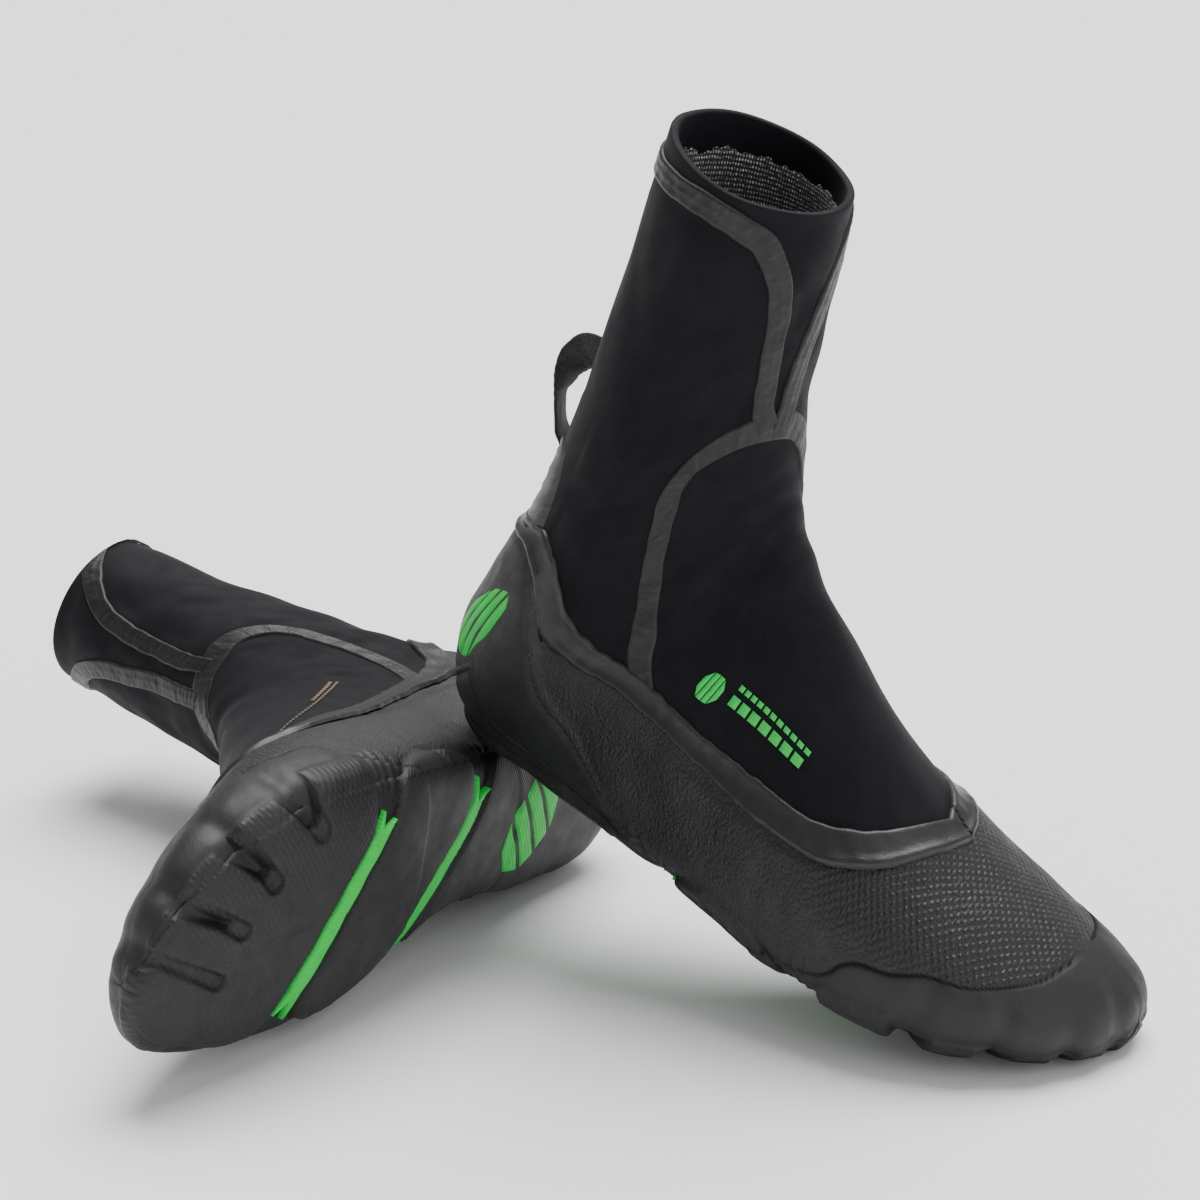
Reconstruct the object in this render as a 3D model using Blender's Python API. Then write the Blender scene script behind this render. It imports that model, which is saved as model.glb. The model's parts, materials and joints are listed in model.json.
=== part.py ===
"""A pair of neoprene surf boots: the right boot stands with its heel on the left one, which lies on its side.

Each boot is laid out in its own frame, in millimetres: X runs from the heel to the toes, Y points to the
inner side of the foot on the right boot, and Z is up.  The left boot is its mirror image.

A place on a boot is a distance along the boot from the toe tip, over the foot and up the shaft, and an
angle round it: 0 degrees is the middle of the instep and shin, 180 the middle of the sole and the back,
negative angles are the outer side and positive ones the inner side.  Every layer is this one surface, pushed
in or out along its normal, so layers never meet.
"""
import math
from collections import namedtuple

import bmesh
import bpy
import numpy as np
from mathutils import Euler, Vector
from mathutils.bvhtree import BVHTree
from mathutils.geometry import delaunay_2d_cdt

MM = 0.001
COLLECTION_NAME = "neoprene_boots"

# Where each boot stands: position of its frame's origin (mm) and rotation about X, Y and Z (degrees).
RIGHT_PLACE = (-22.76, 60.14, 85.03)
RIGHT_TURN = (3.484, 19.296, 4.807)
LEFT_PLACE = (2.68, 137.41, 25.20)
LEFT_TURN = (79.233, -5.933, -88.097)

# Moving joints, in the boot's frame (mm).
ANKLE_AXIS = (72.0, 0.0, 96.0)
LOOP_AXIS = (13.5, 0.0, 138.3)

# The layers, as distances outside the neoprene's outer face (mm).
NEOPRENE = (-3.0, 0.0)
LINING = (-4.4, -3.4)
TAPE = (0.4, 1.0)
EDGE_TAPE = (0.4, 1.8)
SHELL = (0.4, 2.2)
RAND = (0.4, 2.8)
COUNTER = (0.4, 2.8)
BADGE = (3.2, 3.9)
OUTSOLE = (0.4, 2.8)
TREAD = (3.2, 5.4)
STRIP = (3.2, 4.4)
SEAM_GAP = 0.36
LINING_GAP = 1.0
HEEL_FLAT = -0.6
HEEL_FLAT_REACH = 3.2
HEEL_FLAT_SPAN = (24.0, 70.0)

# The lattice that every layer shares: distances along the boot (mm) and angles round it, closer on the sole.
LATTICE_ALONG = (0, 5, 16, 38, 68, 102, 136, 166, 190, 210, 234, 253, 274, 300, 330, 362, 400, 440)
LATTICE_DEGREES = (0, 32, 64, 96, 122, 142, 161, 180, 199, 218, 238, 264, 296, 328, 360)
UNDERSIDE = (90, 270)
EDGE_STEP = 25.0
FLAT_PER_DEGREE = 38.0 * math.pi / 180
SNAP = 0.02

Station = namedtuple("Station", "along back_x back_z front_x front_z outer inner widest sole arch upper")

# Cross-sections of the boot: the lowest or rearmost point, the highest or foremost point, how far it reaches
# to the outer and inner side, how high up the widest level is (0 to 1), and how square the section is at the
# sole's outer edge, at its inner edge and over the top (2 is an ellipse, more is squarer).
STATIONS = (
    Station(0, 277, 18, 277, 18, 11, 11, 0.45, 2.2, 2.2, 2.0),
    Station(5, 275.5, 12, 275, 24, 1, 21, 0.45, 2.4, 2.4, 2.0),
    Station(12, 271, 10, 269.5, 28.5, -11, 30, 0.44, 2.6, 2.6, 2.0),
    Station(22, 262, 8, 260, 33, -24, 36.5, 0.42, 2.8, 2.8, 2.0),
    Station(36, 248, 5.6, 246, 39, -36, 41, 0.38, 3.0, 3.0, 2.0),
    Station(54, 230, 2.5, 228, 46, -46, 44, 0.36, 3.2, 3.0, 2.0),
    Station(80, 204, -1.0, 203, 57, -52, 45, 0.33, 3.2, 3.0, 2.0),
    Station(110, 174, -2.5, 176, 73, -51, 41, 0.30, 3.2, 2.6, 1.9),
    Station(140, 144, -1.2, 151, 92.5, -47, 36, 0.29, 3.2, 2.3, 1.85),
    Station(168, 112, 1.8, 130, 110, -42, 33, 0.29, 3.3, 2.2, 1.85),
    Station(195, 80, 3.8, 117, 121.5, -39, 33.5, 0.33, 3.3, 2.5, 1.9),
    Station(220, 48, 4.8, 109.5, 129.5, -37.5, 35, 0.38, 3.1, 2.8, 1.95),
    Station(243, 18, 6.0, 104.5, 136, -38, 36.5, 0.42, 2.7, 2.6, 2.0),
    Station(260, 2, 17, 101.5, 142.5, -38.5, 37.5, 0.45, 2.3, 2.2, 2.0),
    Station(275, -2.5, 36, 99, 149.5, -39, 38, 0.47, 2.1, 2.1, 2.0),
    Station(295, 1.5, 60, 96.5, 158, -39, 38.5, 0.48, 2.0, 2.0, 2.0),
    Station(315, 8, 84, 94.5, 167, -38.5, 38, 0.49, 2.0, 2.0, 2.0),
    Station(335, 12.2, 105, 92.2, 178, -37.5, 37, 0.5, 2.0, 2.0, 2.0),
    Station(360, 15.7, 135, 89.7, 195, -36, 35.5, 0.5, 2.0, 2.0, 2.0),
    Station(390, 17.7, 172, 88.2, 216, -34.5, 34.5, 0.5, 2.0, 2.0, 2.0),
    Station(415, 19.0, 209, 86.0, 236, -33, 33, 0.5, 2.0, 2.0, 2.0),
    Station(440, 20.0, 250, 84.5, 257, -32, 32, 0.5, 2.0, 2.0, 2.0),
)
POLE_CLEARANCE = 1.0
BOOT_TOP = STATIONS[-1].along

# The cut rim dips towards the front, and the shaft's seams turn a little to the outer side.
RIM_DIP = 16.5
RIM_DIP_TURN = 10.0
RIM_DIP_SHAPE = 1.4
RIM_DIP_START = 400.0
SEAM_TWIST = 14.0
SEAM_TWIST_SPAN = (262.0, 330.0)

# Seams and edges on the outer side, as (distance along, degrees round) from the middle of the front.
RUBBER_TOP = ((90, 0), (95, -15), (105, -34), (124, -52), (149, -61), (176, -68), (212, -74), (234, -78),
              (264, -87), (297, -103), (312, -118), (321, -145), (324, -180))
RUBBER_LOWER = ((83, 0), (87, -15), (97, -37), (115, -57), (144, -68), (172, -74), (208, -80), (231, -84),
                (259, -93), (291, -108), (306, -123), (315, -148), (318, -180))
ARCH_FRONT = ((318, 0), (319.5, -13))
ARCH_SIDE = ((319.5, -13), (320, -26), (317, -41), (308, -51), (290, -55), (266, -56), (240, -60), (217, -69),
             (196, -90), (188, -128))
COLLAR_SEAM = ((319.5, -13), (345, -12.5), (372, -15), (390, -20), (409, -28), (424, -40), (431, -58), (434.5, -80),
               (435.5, -105), (436, -130))
SOLE_EDGE = 128.0
TOE_WRAP = 16.0
RAND_EDGE = ((31, 0), (32, -20), (36, -42), (50, -63), (68, -75), (88, -84), (100, -98), (114, -117))
RAND_END = 132.0
COUNTER_EDGE = ((308, -128), (296, -114), (278, -104), (257, -98), (248, -98), (222, -101), (203, -108),
                (192, -118))
COUNTER_END = 184.0
HEEL_LINE = ((236, -SOLE_EDGE), (246, -155), (251, -180))
COLLAR_BACK = ((437, -155), (437, -180))
BACK_TAB = ((360, -168), (347, -160), (334, -140), (327, -118))
TAB_BOTTOM = 327.0
ARCH_TAPE_END = (225, -66)
COLLAR_TAPE_START = (328, -14)
TAPE_HALF_WIDTH = 4.5
COLLAR_TAPE_HALF_WIDTH = 3.6
BADGE_CENTRE = (274.0, -128.0)
BADGE_SIZE = (15.0, 20.0)

# Tread outlines on the sole, seen from above (mm).
SOLE_MIDDLE = (150.0, -3.0)
FOREFOOT = ((184, -38), (190, -44), (204, -49), (212, -46), (212, -38), (218, -38), (220, -47), (233, -45),
            (239, -36), (235, -28), (239, -24), (246, -33), (255, -26), (261, -18), (251, -11), (254, -6),
            (266, -13), (271, -4), (270, 4), (256, 8), (257, 13), (271, 9), (273, 20), (262, 33), (240, 38),
            (226, 37), (220, 27), (202, -6))
MIDFOOT = ((116, -36), (145, -43), (168, -44), (175, -32), (211, 32), (200, 37), (180, 34), (158, 17))
HEEL = ((109, -30), (100, -36), (50, -33), (18, -24), (8, -2), (18, 20), (50, 27), (90, 20), (140, 16),
        (149, 22), (151, 21))
FRONT_STRIP = ((179, -34), (216, 31))
REAR_STRIP = ((112, -33), (155, 20))
STRIP_HALF_WIDTH = 2.6
STRIP_FORK = 6.0
EMBLEM_CENTRE = (75.0, -6.0)
EMBLEM_SIZE = (15.0, 15.0)
EMBLEM_SIDES = 12

# Where the linings stop short of the ankle, at the front and at the back.
FOOT_LINING_END = (196.0, 312.0)
LINING_TOE = 3.0
SHAFT_LINING_START = (300.0, 350.0)
LINING_TOP = 432.0

# Pull loop: its line in the side view, with the strap's half width at each point (mm).
LOOP_LINE = ((15.8, 156.5, 6.0), (11.0, 156.3, 6.6), (6.0, 152.0, 6.6), (2.6, 145.0, 6.6), (1.6, 137.5, 6.4),
             (3.0, 130.0, 6.2), (6.6, 123.8, 6.0), (11.2, 120.2, 5.8))
LOOP_THICKNESS = 1.5
LOOP_DIVISIONS = 3


def new_collection(name):
    """Link a new collection to the scene."""
    collection = bpy.data.collections.new(name)
    bpy.context.scene.collection.children.link(collection)
    return collection


def spline(knots, values, wanted):
    """Smooth curve through values at the knots, read at the wanted places."""
    slopes = np.zeros_like(values)
    steps = np.diff(knots)[:, None]
    rates = np.diff(values, axis=0) / steps
    slopes[1:-1] = (rates[:-1] * steps[1:] + rates[1:] * steps[:-1]) / (steps[1:] + steps[:-1])
    slopes[0] = rates[0]
    slopes[-1] = rates[-1]
    index = np.clip(np.searchsorted(knots, wanted) - 1, 0, len(knots) - 2)
    width = (knots[index + 1] - knots[index])[:, None]
    t = (wanted - knots[index])[:, None] / width
    start = (2 * t ** 3 - 3 * t ** 2 + 1) * values[index] + (t ** 3 - 2 * t ** 2 + t) * width * slopes[index]
    end = (3 * t ** 2 - 2 * t ** 3) * values[index + 1] + (t ** 3 - t ** 2) * width * slopes[index + 1]
    return start + end


STATION_TABLE = np.array(STATIONS, dtype=float)


def signed_power(values, exponent):
    """Power that keeps the sign, for super-ellipses."""
    return np.sign(values) * np.abs(values) ** exponent


def surface(along, degrees):
    """Points of the boot's surface at distances along it and angles round it."""
    angle = np.radians(degrees)
    values = spline(STATION_TABLE[:, 0], STATION_TABLE[:, 1:], along)
    back = values[:, 0:2]
    front = values[:, 2:4]
    outer, inner, widest, sole, arch, upper = values[:, 4:].T
    cosine = np.cos(angle)
    sine = np.sin(angle)
    lower = np.where(sine > 0, arch, sole)
    power = 2.0 / np.where(cosine >= 0, upper, lower)
    rise = np.where(cosine >= 0, 1 - widest, widest)
    height = widest + rise * signed_power(cosine, power)
    centre = back + (front - back) * height[:, None]
    side = (outer + inner) / 2 + (inner - outer) / 2 * signed_power(sine, power)
    return np.column_stack((centre[:, 0], side, centre[:, 1]))


def normals(along, degrees):
    """Unit normals of the surface, pointing out of the boot."""
    along = np.clip(along, POLE_CLEARANCE, BOOT_TOP)
    step = 0.5
    ahead = np.minimum(along + step, BOOT_TOP)
    behind = np.maximum(along - step, 0.0)
    run = surface(ahead, degrees) - surface(behind, degrees)
    turn = surface(along, degrees + step) - surface(along, degrees - step)
    cross = np.cross(turn, run)
    return cross / np.linalg.norm(cross, axis=1)[:, None]


def lowered(along, degrees):
    """Distances along the boot, with the top of the shaft brought down to its rim."""
    share = (1 + np.cos(np.radians(degrees + RIM_DIP_TURN))) / 2
    reach = np.clip((along - RIM_DIP_START) / (BOOT_TOP - RIM_DIP_START), 0, 1)
    return along - RIM_DIP * reach * share ** RIM_DIP_SHAPE


def twisted(outline):
    """Turn the shaft's seams to the outer side, less towards the back and down the foot."""
    outline = np.array(outline, dtype=float)
    low, high = SEAM_TWIST_SPAN
    rise = np.clip((outline[:, 0] - low) / (high - low), 0, 1)
    front = (1 + np.cos(np.radians(outline[:, 1]))) / 2
    outline[:, 1] -= SEAM_TWIST * rise * front
    return outline


class Lattice:
    """The boot's surface as flat triangles between lattice points, with a normal at each."""

    def __init__(self):
        self.along = np.array(LATTICE_ALONG, dtype=float)
        self.degrees = np.array(LATTICE_DEGREES, dtype=float)
        grid_along, grid_degrees = np.meshgrid(self.along, self.degrees, indexing="ij")
        grid_along = lowered(grid_along, grid_degrees)
        shape = (*grid_along.shape, 3)
        self.points = surface(grid_along.ravel(), grid_degrees.ravel()).reshape(shape)
        self.normals = normals(grid_along.ravel(), grid_degrees.ravel()).reshape(shape)
        self.normals[0] = (1.0, 0.0, 0.0)

    def blend(self, table, places):
        """Read a lattice table at places, linearly within each triangle."""
        places = np.asarray(places, dtype=float)
        along = np.clip(places[:, 0], 0.0, BOOT_TOP)
        turn = np.mod(places[:, 1], 360.0)
        row = np.clip(np.searchsorted(self.along, along) - 1, 0, len(self.along) - 2)
        column = np.clip(np.searchsorted(self.degrees, turn) - 1, 0, len(self.degrees) - 2)
        up = ((along - self.along[row]) / (self.along[row + 1] - self.along[row]))[:, None]
        over = ((turn - self.degrees[column]) / (self.degrees[column + 1] - self.degrees[column]))[:, None]
        first = table[row, column]
        last = table[row + 1, column + 1]
        below = first * (1 - up) + table[row + 1, column] * (up - over) + last * over
        above = first * (1 - over) + table[row, column + 1] * (over - up) + last * up
        return np.where(up >= over, below, above)

    def layer(self, places, depth):
        """Places on the boot, pushed out by depth."""
        return self.blend(self.points, places) + self.blend(self.normals, places) * depth

    def edges_near(self, low, high):
        """Lattice places and edges between two corners of the spread-out surface."""
        rows = [value for value in self.along if low[0] - 60 < value < high[0] + 60]
        turns = [turn + whole for whole in (-360, 0, 360) for turn in LATTICE_DEGREES[:-1]]
        turns = [turn for turn in turns if low[1] - 40 < turn < high[1] + 40]
        places = [(value, turn) for value in rows for turn in turns]
        width = len(turns)
        edges = []
        for row in range(len(rows)):
            for column in range(width):
                here = row * width + column
                if column + 1 < width:
                    edges.append((here, here + 1))
                if row + 1 < len(rows):
                    edges.append((here, here + width))
                if row + 1 < len(rows) and column + 1 < width:
                    edges.append((here, here + width + 1))
        return places, edges


def smooth_line(points, step=EDGE_STEP):
    """Curve through a few points of any dimension, with points about a step apart."""
    points = np.asarray(points, dtype=float)
    lengths = np.linalg.norm(np.diff(points, axis=0), axis=1)
    knots = np.concatenate(([0.0], np.cumsum(lengths)))
    count = max(2, int(math.ceil(knots[-1] / step)) + 1)
    return spline(knots, points, np.linspace(0.0, knots[-1], count))


def cut_corners(points, rounds):
    """Closed outline with its corners rounded by cutting them, a quarter of each side at a time."""
    points = np.asarray(points, dtype=float)
    for _ in range(rounds):
        following = np.roll(points, -1, axis=0)
        near = points * 0.75 + following * 0.25
        far = points * 0.25 + following * 0.75
        points = np.stack((near, far), axis=1).reshape(-1, 2)
    return points


def other_side(line):
    """The same line on the inner side of the foot."""
    return line * np.array((1.0, -1.0))


def inside(point, outline):
    """Whether a flat point lies inside a closed outline."""
    x, y = point
    x1, y1 = outline[:, 0], outline[:, 1]
    x2, y2 = np.roll(x1, -1), np.roll(y1, -1)
    crosses = (y1 > y) != (y2 > y)
    rise = np.where(y2 == y1, 1.0, y2 - y1)
    left = x < (x2 - x1) * (y - y1) / rise + x1
    return bool(np.count_nonzero(crosses & left) % 2)


def inset(outline, gap):
    """Shrink a closed flat outline by gap, whichever way round it runs."""
    previous = np.roll(outline, 1, axis=0)
    following = np.roll(outline, -1, axis=0)
    before = outline - previous
    after = following - outline
    before /= np.linalg.norm(before, axis=1)[:, None]
    after /= np.linalg.norm(after, axis=1)[:, None]
    bisector = before + after
    bisector /= np.maximum(np.linalg.norm(bisector, axis=1), 1e-6)[:, None]
    area = np.sum(outline[:, 0] * following[:, 1] - following[:, 0] * outline[:, 1])
    inward = np.column_stack((-bisector[:, 1], bisector[:, 0])) * np.sign(area)
    cosine = np.maximum(np.sum(bisector * after, axis=1), 0.5)
    return outline + inward * (gap / cosine)[:, None]


def triangulate(outlines, lattice):
    """Places and triangles that fill the first outline, less the others, cut along the lattice's edges."""
    scale = np.array((1.0, FLAT_PER_DEGREE))
    low = outlines[0].min(axis=0)
    high = outlines[0].max(axis=0)
    places, edges = lattice.edges_near(low, high)
    for outline in outlines:
        start = len(places)
        count = len(outline)
        places += [tuple(place) for place in outline]
        edges += [(start + i, start + (i + 1) % count) for i in range(count)]
    flat = [Vector(np.asarray(place) * scale) for place in places]
    found, _, faces, _, _, _ = delaunay_2d_cdt(flat, edges, [], 0, SNAP, False)
    found = np.array([tuple(point) for point in found]) / scale
    kept = []
    for face in faces:
        middle = found[list(face)].mean(axis=0)
        if inside(middle, outlines[0]) and not any(inside(middle, hole) for hole in outlines[1:]):
            kept.append(tuple(face))
    return found, kept


def joined(points, triangles):
    """Give points that meet one number, and drop the triangles that this flattens."""
    keys = {}
    number = [keys.setdefault(tuple(np.round(point, 3)), index) for index, point in enumerate(points)]
    renumbered = [tuple(number[corner] for corner in triangle) for triangle in triangles]
    return [triangle for triangle in renumbered if len(set(triangle)) == 3]


def thicken(bottom, top, triangles):
    """Closed mesh between two sheets of matching points."""
    mesh = bmesh.new()
    low = [mesh.verts.new(point) for point in bottom]
    high = [mesh.verts.new(point) for point in top]
    directed = set()
    for a, b, c in triangles:
        mesh.faces.new((high[a], high[b], high[c]))
        mesh.faces.new((low[c], low[b], low[a]))
        directed.update(((a, b), (b, c), (c, a)))
    for a, b in sorted(directed):
        if (b, a) not in directed:
            mesh.faces.new((high[b], high[a], low[a], low[b]))
    loose = [vertex for vertex in mesh.verts if not vertex.link_faces]
    bmesh.ops.delete(mesh, geom=loose, context="VERTS")
    bmesh.ops.recalc_face_normals(mesh, faces=mesh.faces)
    return mesh


def panel(lattice, outlines, layer, gap=SEAM_GAP, wraps=False, level=None):
    """Sheet over the part of the boot inside the first outline, less the others.

    A panel that wraps meets itself at 180 degrees and at the toe tip, so its outline isn't shrunk there.
    A level makes the part of its outer face that is nearly at that height under the heel exactly flat.
    """
    scale = np.array((1.0, FLAT_PER_DEGREE))
    shrunk = []
    for index, outline in enumerate(outlines):
        outline = np.asarray(outline, dtype=float)
        edge = inset(outline * scale, gap if index == 0 else -gap) / scale
        if wraps:
            edge = np.where(np.abs(outline) == (-1.0, 180.0), outline, edge)
            edge[outline[:, 0] == 0.0, 0] = 0.0
        shrunk.append(edge)
    places, triangles = triangulate(shrunk, lattice)
    low = lattice.layer(places, layer[0])
    high = lattice.layer(places, layer[1])
    if level is not None:
        near = np.abs(high[:, 2] - level) < HEEL_FLAT_REACH
        along = (high[:, 0] > HEEL_FLAT_SPAN[0]) & (high[:, 0] < HEEL_FLAT_SPAN[1])
        high[near & along, 2] = level
    return thicken(low, high, joined(low, triangles))


def band(line, half_width):
    """Outline of a strip along a line of places."""
    scale = np.array((1.0, FLAT_PER_DEGREE))
    return flat_band(np.asarray(line, dtype=float) * scale, half_width) / scale


def flat_band(flat, half_width):
    """Outline of a strip along a flat line."""
    tangent = np.gradient(flat, axis=0)
    tangent /= np.linalg.norm(tangent, axis=1)[:, None]
    across = np.column_stack((-tangent[:, 1], tangent[:, 0])) * half_width
    return np.concatenate((flat + across, (flat - across)[::-1]))


class Sole:
    """Finds the place on the boot's underside that is above a point of the plan."""

    def __init__(self, lattice):
        self.lattice = lattice
        rows = [row for row, along in enumerate(LATTICE_ALONG) if 0 < along < 290]
        columns = [column for column, turn in enumerate(LATTICE_DEGREES) if UNDERSIDE[0] <= turn < UNDERSIDE[1]]
        self.corners = []
        for row in rows:
            for column in columns:
                self.corners.append(((row, column), (row + 1, column), (row + 1, column + 1)))
                self.corners.append(((row, column), (row + 1, column + 1), (row, column + 1)))
        points = []
        faces = []
        for triangle in self.corners:
            faces.append(tuple(range(len(points), len(points) + 3)))
            points += [tuple(lattice.points[corner]) for corner in triangle]
        self.tree = BVHTree.FromPolygons(points, faces)

    def place(self, x, y):
        """Distance along the boot and angle round it of the underside at plan point x, y.

        A point beside the sole is drawn towards its middle until it is under it.
        """
        _, _, face, _ = self.tree.ray_cast(Vector((x, y, -100.0)), Vector((0, 0, 1)))
        if face is None:
            nearer = (x + (SOLE_MIDDLE[0] - x) * 0.02, y + (SOLE_MIDDLE[1] - y) * 0.02)
            return self.place(*nearer)
        a, b, c = (self.lattice.points[corner][:2] for corner in self.corners[face])
        shares = np.linalg.solve(np.column_stack((b - a, c - a)), np.array((x, y)) - a)
        weights = (1 - shares[0] - shares[1], shares[0], shares[1])
        places = [(LATTICE_ALONG[row], LATTICE_DEGREES[column]) for row, column in self.corners[face]]
        return sum(np.array(place) * weight for place, weight in zip(places, weights))

    def places(self, outline):
        """Places under every point of a plan outline."""
        return np.array([self.place(x, y) for x, y in outline])


def forked_strip(line):
    """Outline of a ribbon along a plan line, with a notch cut in its outer end."""
    path = smooth_line(line, 14.0)
    outline = flat_band(path, STRIP_HALF_WIDTH)
    inward = (path[1] - path[0]) / np.linalg.norm(path[1] - path[0])
    notch = path[0] + inward * STRIP_FORK
    return np.concatenate((outline, [notch]))


def ellipse(centre, size, count):
    """Points round an ellipse."""
    angles = np.arange(count) * 2 * math.pi / count
    return np.column_stack((centre[0] + size[0] * np.cos(angles), centre[1] + size[1] * np.sin(angles)))


def strap():
    """The pull loop: a flat webbing strap whose ends are gathered narrow."""
    path = smooth_line(LOOP_LINE, 60.0 / (LOOP_DIVISIONS * len(LOOP_LINE)))
    tangent = np.gradient(path[:, :2], axis=0)
    tangent /= np.linalg.norm(tangent, axis=1)[:, None]
    away = np.column_stack((-tangent[:, 1], tangent[:, 0])) * LOOP_THICKNESS / 2
    mesh = bmesh.new()
    rings = []
    for (x, z, half), (ax, az) in zip(path, away):
        corners = ((x - ax, -half, z - az), (x + ax, -half, z + az), (x + ax, half, z + az), (x - ax, half, z - az))
        rings.append([mesh.verts.new(corner) for corner in corners])
    for ring, following in zip(rings, rings[1:]):
        for i in range(4):
            j = (i + 1) % 4
            mesh.faces.new((ring[i], ring[j], following[j], following[i]))
    mesh.faces.new(rings[0])
    mesh.faces.new(rings[-1])
    bmesh.ops.recalc_face_normals(mesh, faces=mesh.faces)
    return mesh


def vamp_outline():
    """Instep panel: from the toe to the arch seam, down to the sole's edges."""
    tip = ((TOE_WRAP, -SOLE_EDGE), (TOE_WRAP, -180.0), (0.0, -180.0))
    outer = np.concatenate((ARCH_FRONT, smooth_line(ARCH_SIDE)[1:], tip))
    return np.concatenate((outer, other_side(outer)[::-1][:-1]))


def quarter_outline():
    """Side and heel panel: behind the arch seam, under the collar seam, to the middle of the back."""
    collar = smooth_line(COLLAR_SEAM)
    return np.concatenate((smooth_line(ARCH_SIDE)[::-1], collar[1:], COLLAR_BACK, HEEL_LINE[::-1]))


def collar_outline():
    """Collar band round the top with the narrow strip down the shin, slit at the back."""
    top = ((BOOT_TOP, -180), (BOOT_TOP, 0))
    outer = np.concatenate((ARCH_FRONT, smooth_line(COLLAR_SEAM)[1:], COLLAR_BACK, top))
    return np.concatenate((outer, other_side(outer)[::-1][1:-1]))


def sole_outline():
    """Underside of the foot, between the sole's edges, from behind the toe tip to the heel."""
    inner = other_side(np.array(((TOE_WRAP, -SOLE_EDGE), *HEEL_LINE), dtype=float))
    outer = np.column_stack((inner[:, 0], 360 - inner[:, 1]))
    return np.concatenate((inner, outer[::-1][1:]))


def slanted_line(distances, degrees):
    """Line round the boot that rises from one distance at the front to another at the back."""
    blend = (1 - np.cos(np.radians(degrees))) / 2
    return np.column_stack((distances[0] + (distances[1] - distances[0]) * blend, degrees))


def shaft_lining_outline():
    """All round the shaft, from above the ankle to just below the rim."""
    degrees = np.array([turn - 180.0 for turn in LATTICE_DEGREES])
    first = slanted_line(SHAFT_LINING_START, degrees)
    last = slanted_line((LINING_TOP, LINING_TOP), degrees)
    return np.concatenate((first, last[::-1]))


def side_lining_outline():
    """Outer half of the foot's lining: from the toe tip over the side to the middle of the heel."""
    degrees = np.array([-turn for turn in LATTICE_DEGREES if turn <= 180], dtype=float)
    top = slanted_line(FOOT_LINING_END, degrees)
    toe = ((TOE_WRAP, -SOLE_EDGE), (TOE_WRAP, -180.0), (LINING_TOE, -180.0), (LINING_TOE, -90.0), (LINING_TOE, 0.0))
    return np.concatenate((top, HEEL_LINE[::-1], toe))


def around_back(line):
    """A line on the outer side written with angles that pass through 180 degrees, and its mirror image."""
    inner = np.column_stack((line[:, 0], -line[:, 1]))
    outer = np.column_stack((line[:, 0], 360 + line[:, 1]))
    return inner, outer


def counter_outline():
    """Heel counter: below the rubber's edge tape, behind its own front edge, above the sole's edge."""
    edge = smooth_line((*COUNTER_EDGE, (COUNTER_END, -SOLE_EDGE)))
    lower = smooth_line(RUBBER_LOWER)
    top = lower[(lower[:, 0] > COUNTER_EDGE[0][0] + 2)]
    run = np.concatenate((top[::-1], edge, HEEL_LINE))
    inner, outer = around_back(run)
    return np.concatenate((inner, outer[::-1][1:-1]))


def shell_outline():
    """Textured rubber over the foot, between the edge tape, the counter, the sole and the toe rand."""
    lower = smooth_line(RUBBER_LOWER)
    top = lower[(lower[:, 0] <= COUNTER_EDGE[0][0] + 2)]
    edge = smooth_line((*COUNTER_EDGE, (COUNTER_END, -SOLE_EDGE)))
    rand = smooth_line((*RAND_EDGE, (RAND_END, -SOLE_EDGE)))
    return top, np.concatenate((edge, rand[::-1]))


def shell_panels():
    """The shell is one ring round the instep, laid out as an arch from heel side to heel side."""
    top, below = shell_outline()
    outer = np.concatenate((top, below))
    return np.concatenate((outer[:len(top)][::-1], other_side(top)[1:], other_side(below)[:-1], below[::-1]))


def rand_outline():
    """Smooth rubber round the toes, wrapped under the toe tip to the outsole."""
    rand = smooth_line((*RAND_EDGE, (RAND_END, -SOLE_EDGE)))
    tip = ((TOE_WRAP, -SOLE_EDGE), (TOE_WRAP, -180.0), (0.0, -180.0))
    outer = np.concatenate((rand, tip))
    return np.concatenate((outer, other_side(outer)[::-1][:-1]))


def edge_tape_outline():
    """Smooth band round the top of the rubber, slit at the middle of the back."""
    top = smooth_line(RUBBER_TOP)
    lower = smooth_line(RUBBER_LOWER)
    upper = np.concatenate((top[::-1], other_side(top)[1:]))
    under = np.concatenate((other_side(lower)[::-1], lower[1:]))
    return np.concatenate((upper, under))


def back_tab_outline():
    """Heel tab: narrow at the pull loop, spreading down to the rubber."""
    side = smooth_line(BACK_TAB, 8.0)
    bottom = smooth_line((BACK_TAB[-1], (TAB_BOTTOM, -150), (TAB_BOTTOM + 2, -180)), 10.0)
    inner, outer = around_back(np.concatenate((side, bottom[1:])))
    return np.concatenate((inner, outer[::-1][1:]))


def badge_outline():
    """Oval badge on the outer side of the heel."""
    count = 12
    return ellipse((BADGE_CENTRE[0], 360 + BADGE_CENTRE[1]), BADGE_SIZE, count)


def make_material(name, colour, roughness):
    """Principled material of one sub-part."""
    material = bpy.data.materials.new(name)
    material.use_nodes = True
    shader = material.node_tree.nodes["Principled BSDF"]
    shader.inputs["Base Color"].default_value = (*colour, 1.0)
    shader.inputs["Roughness"].default_value = roughness
    shader.inputs["Metallic"].default_value = 0.0
    material.diffuse_color = (*colour, 1.0)
    return material


NEOPRENE_BLACK = (0.012, 0.012, 0.016)
TAPE_GREY = (0.065, 0.065, 0.067)
RUBBER_GREY = (0.042, 0.042, 0.043)
SOLE_GREY = (0.032, 0.031, 0.032)
ACCENT_GREEN = (0.02, 0.62, 0.11)
KNIT_GREY = (0.16, 0.16, 0.16)
WEBBING_BLACK = (0.02, 0.02, 0.021)

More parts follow.
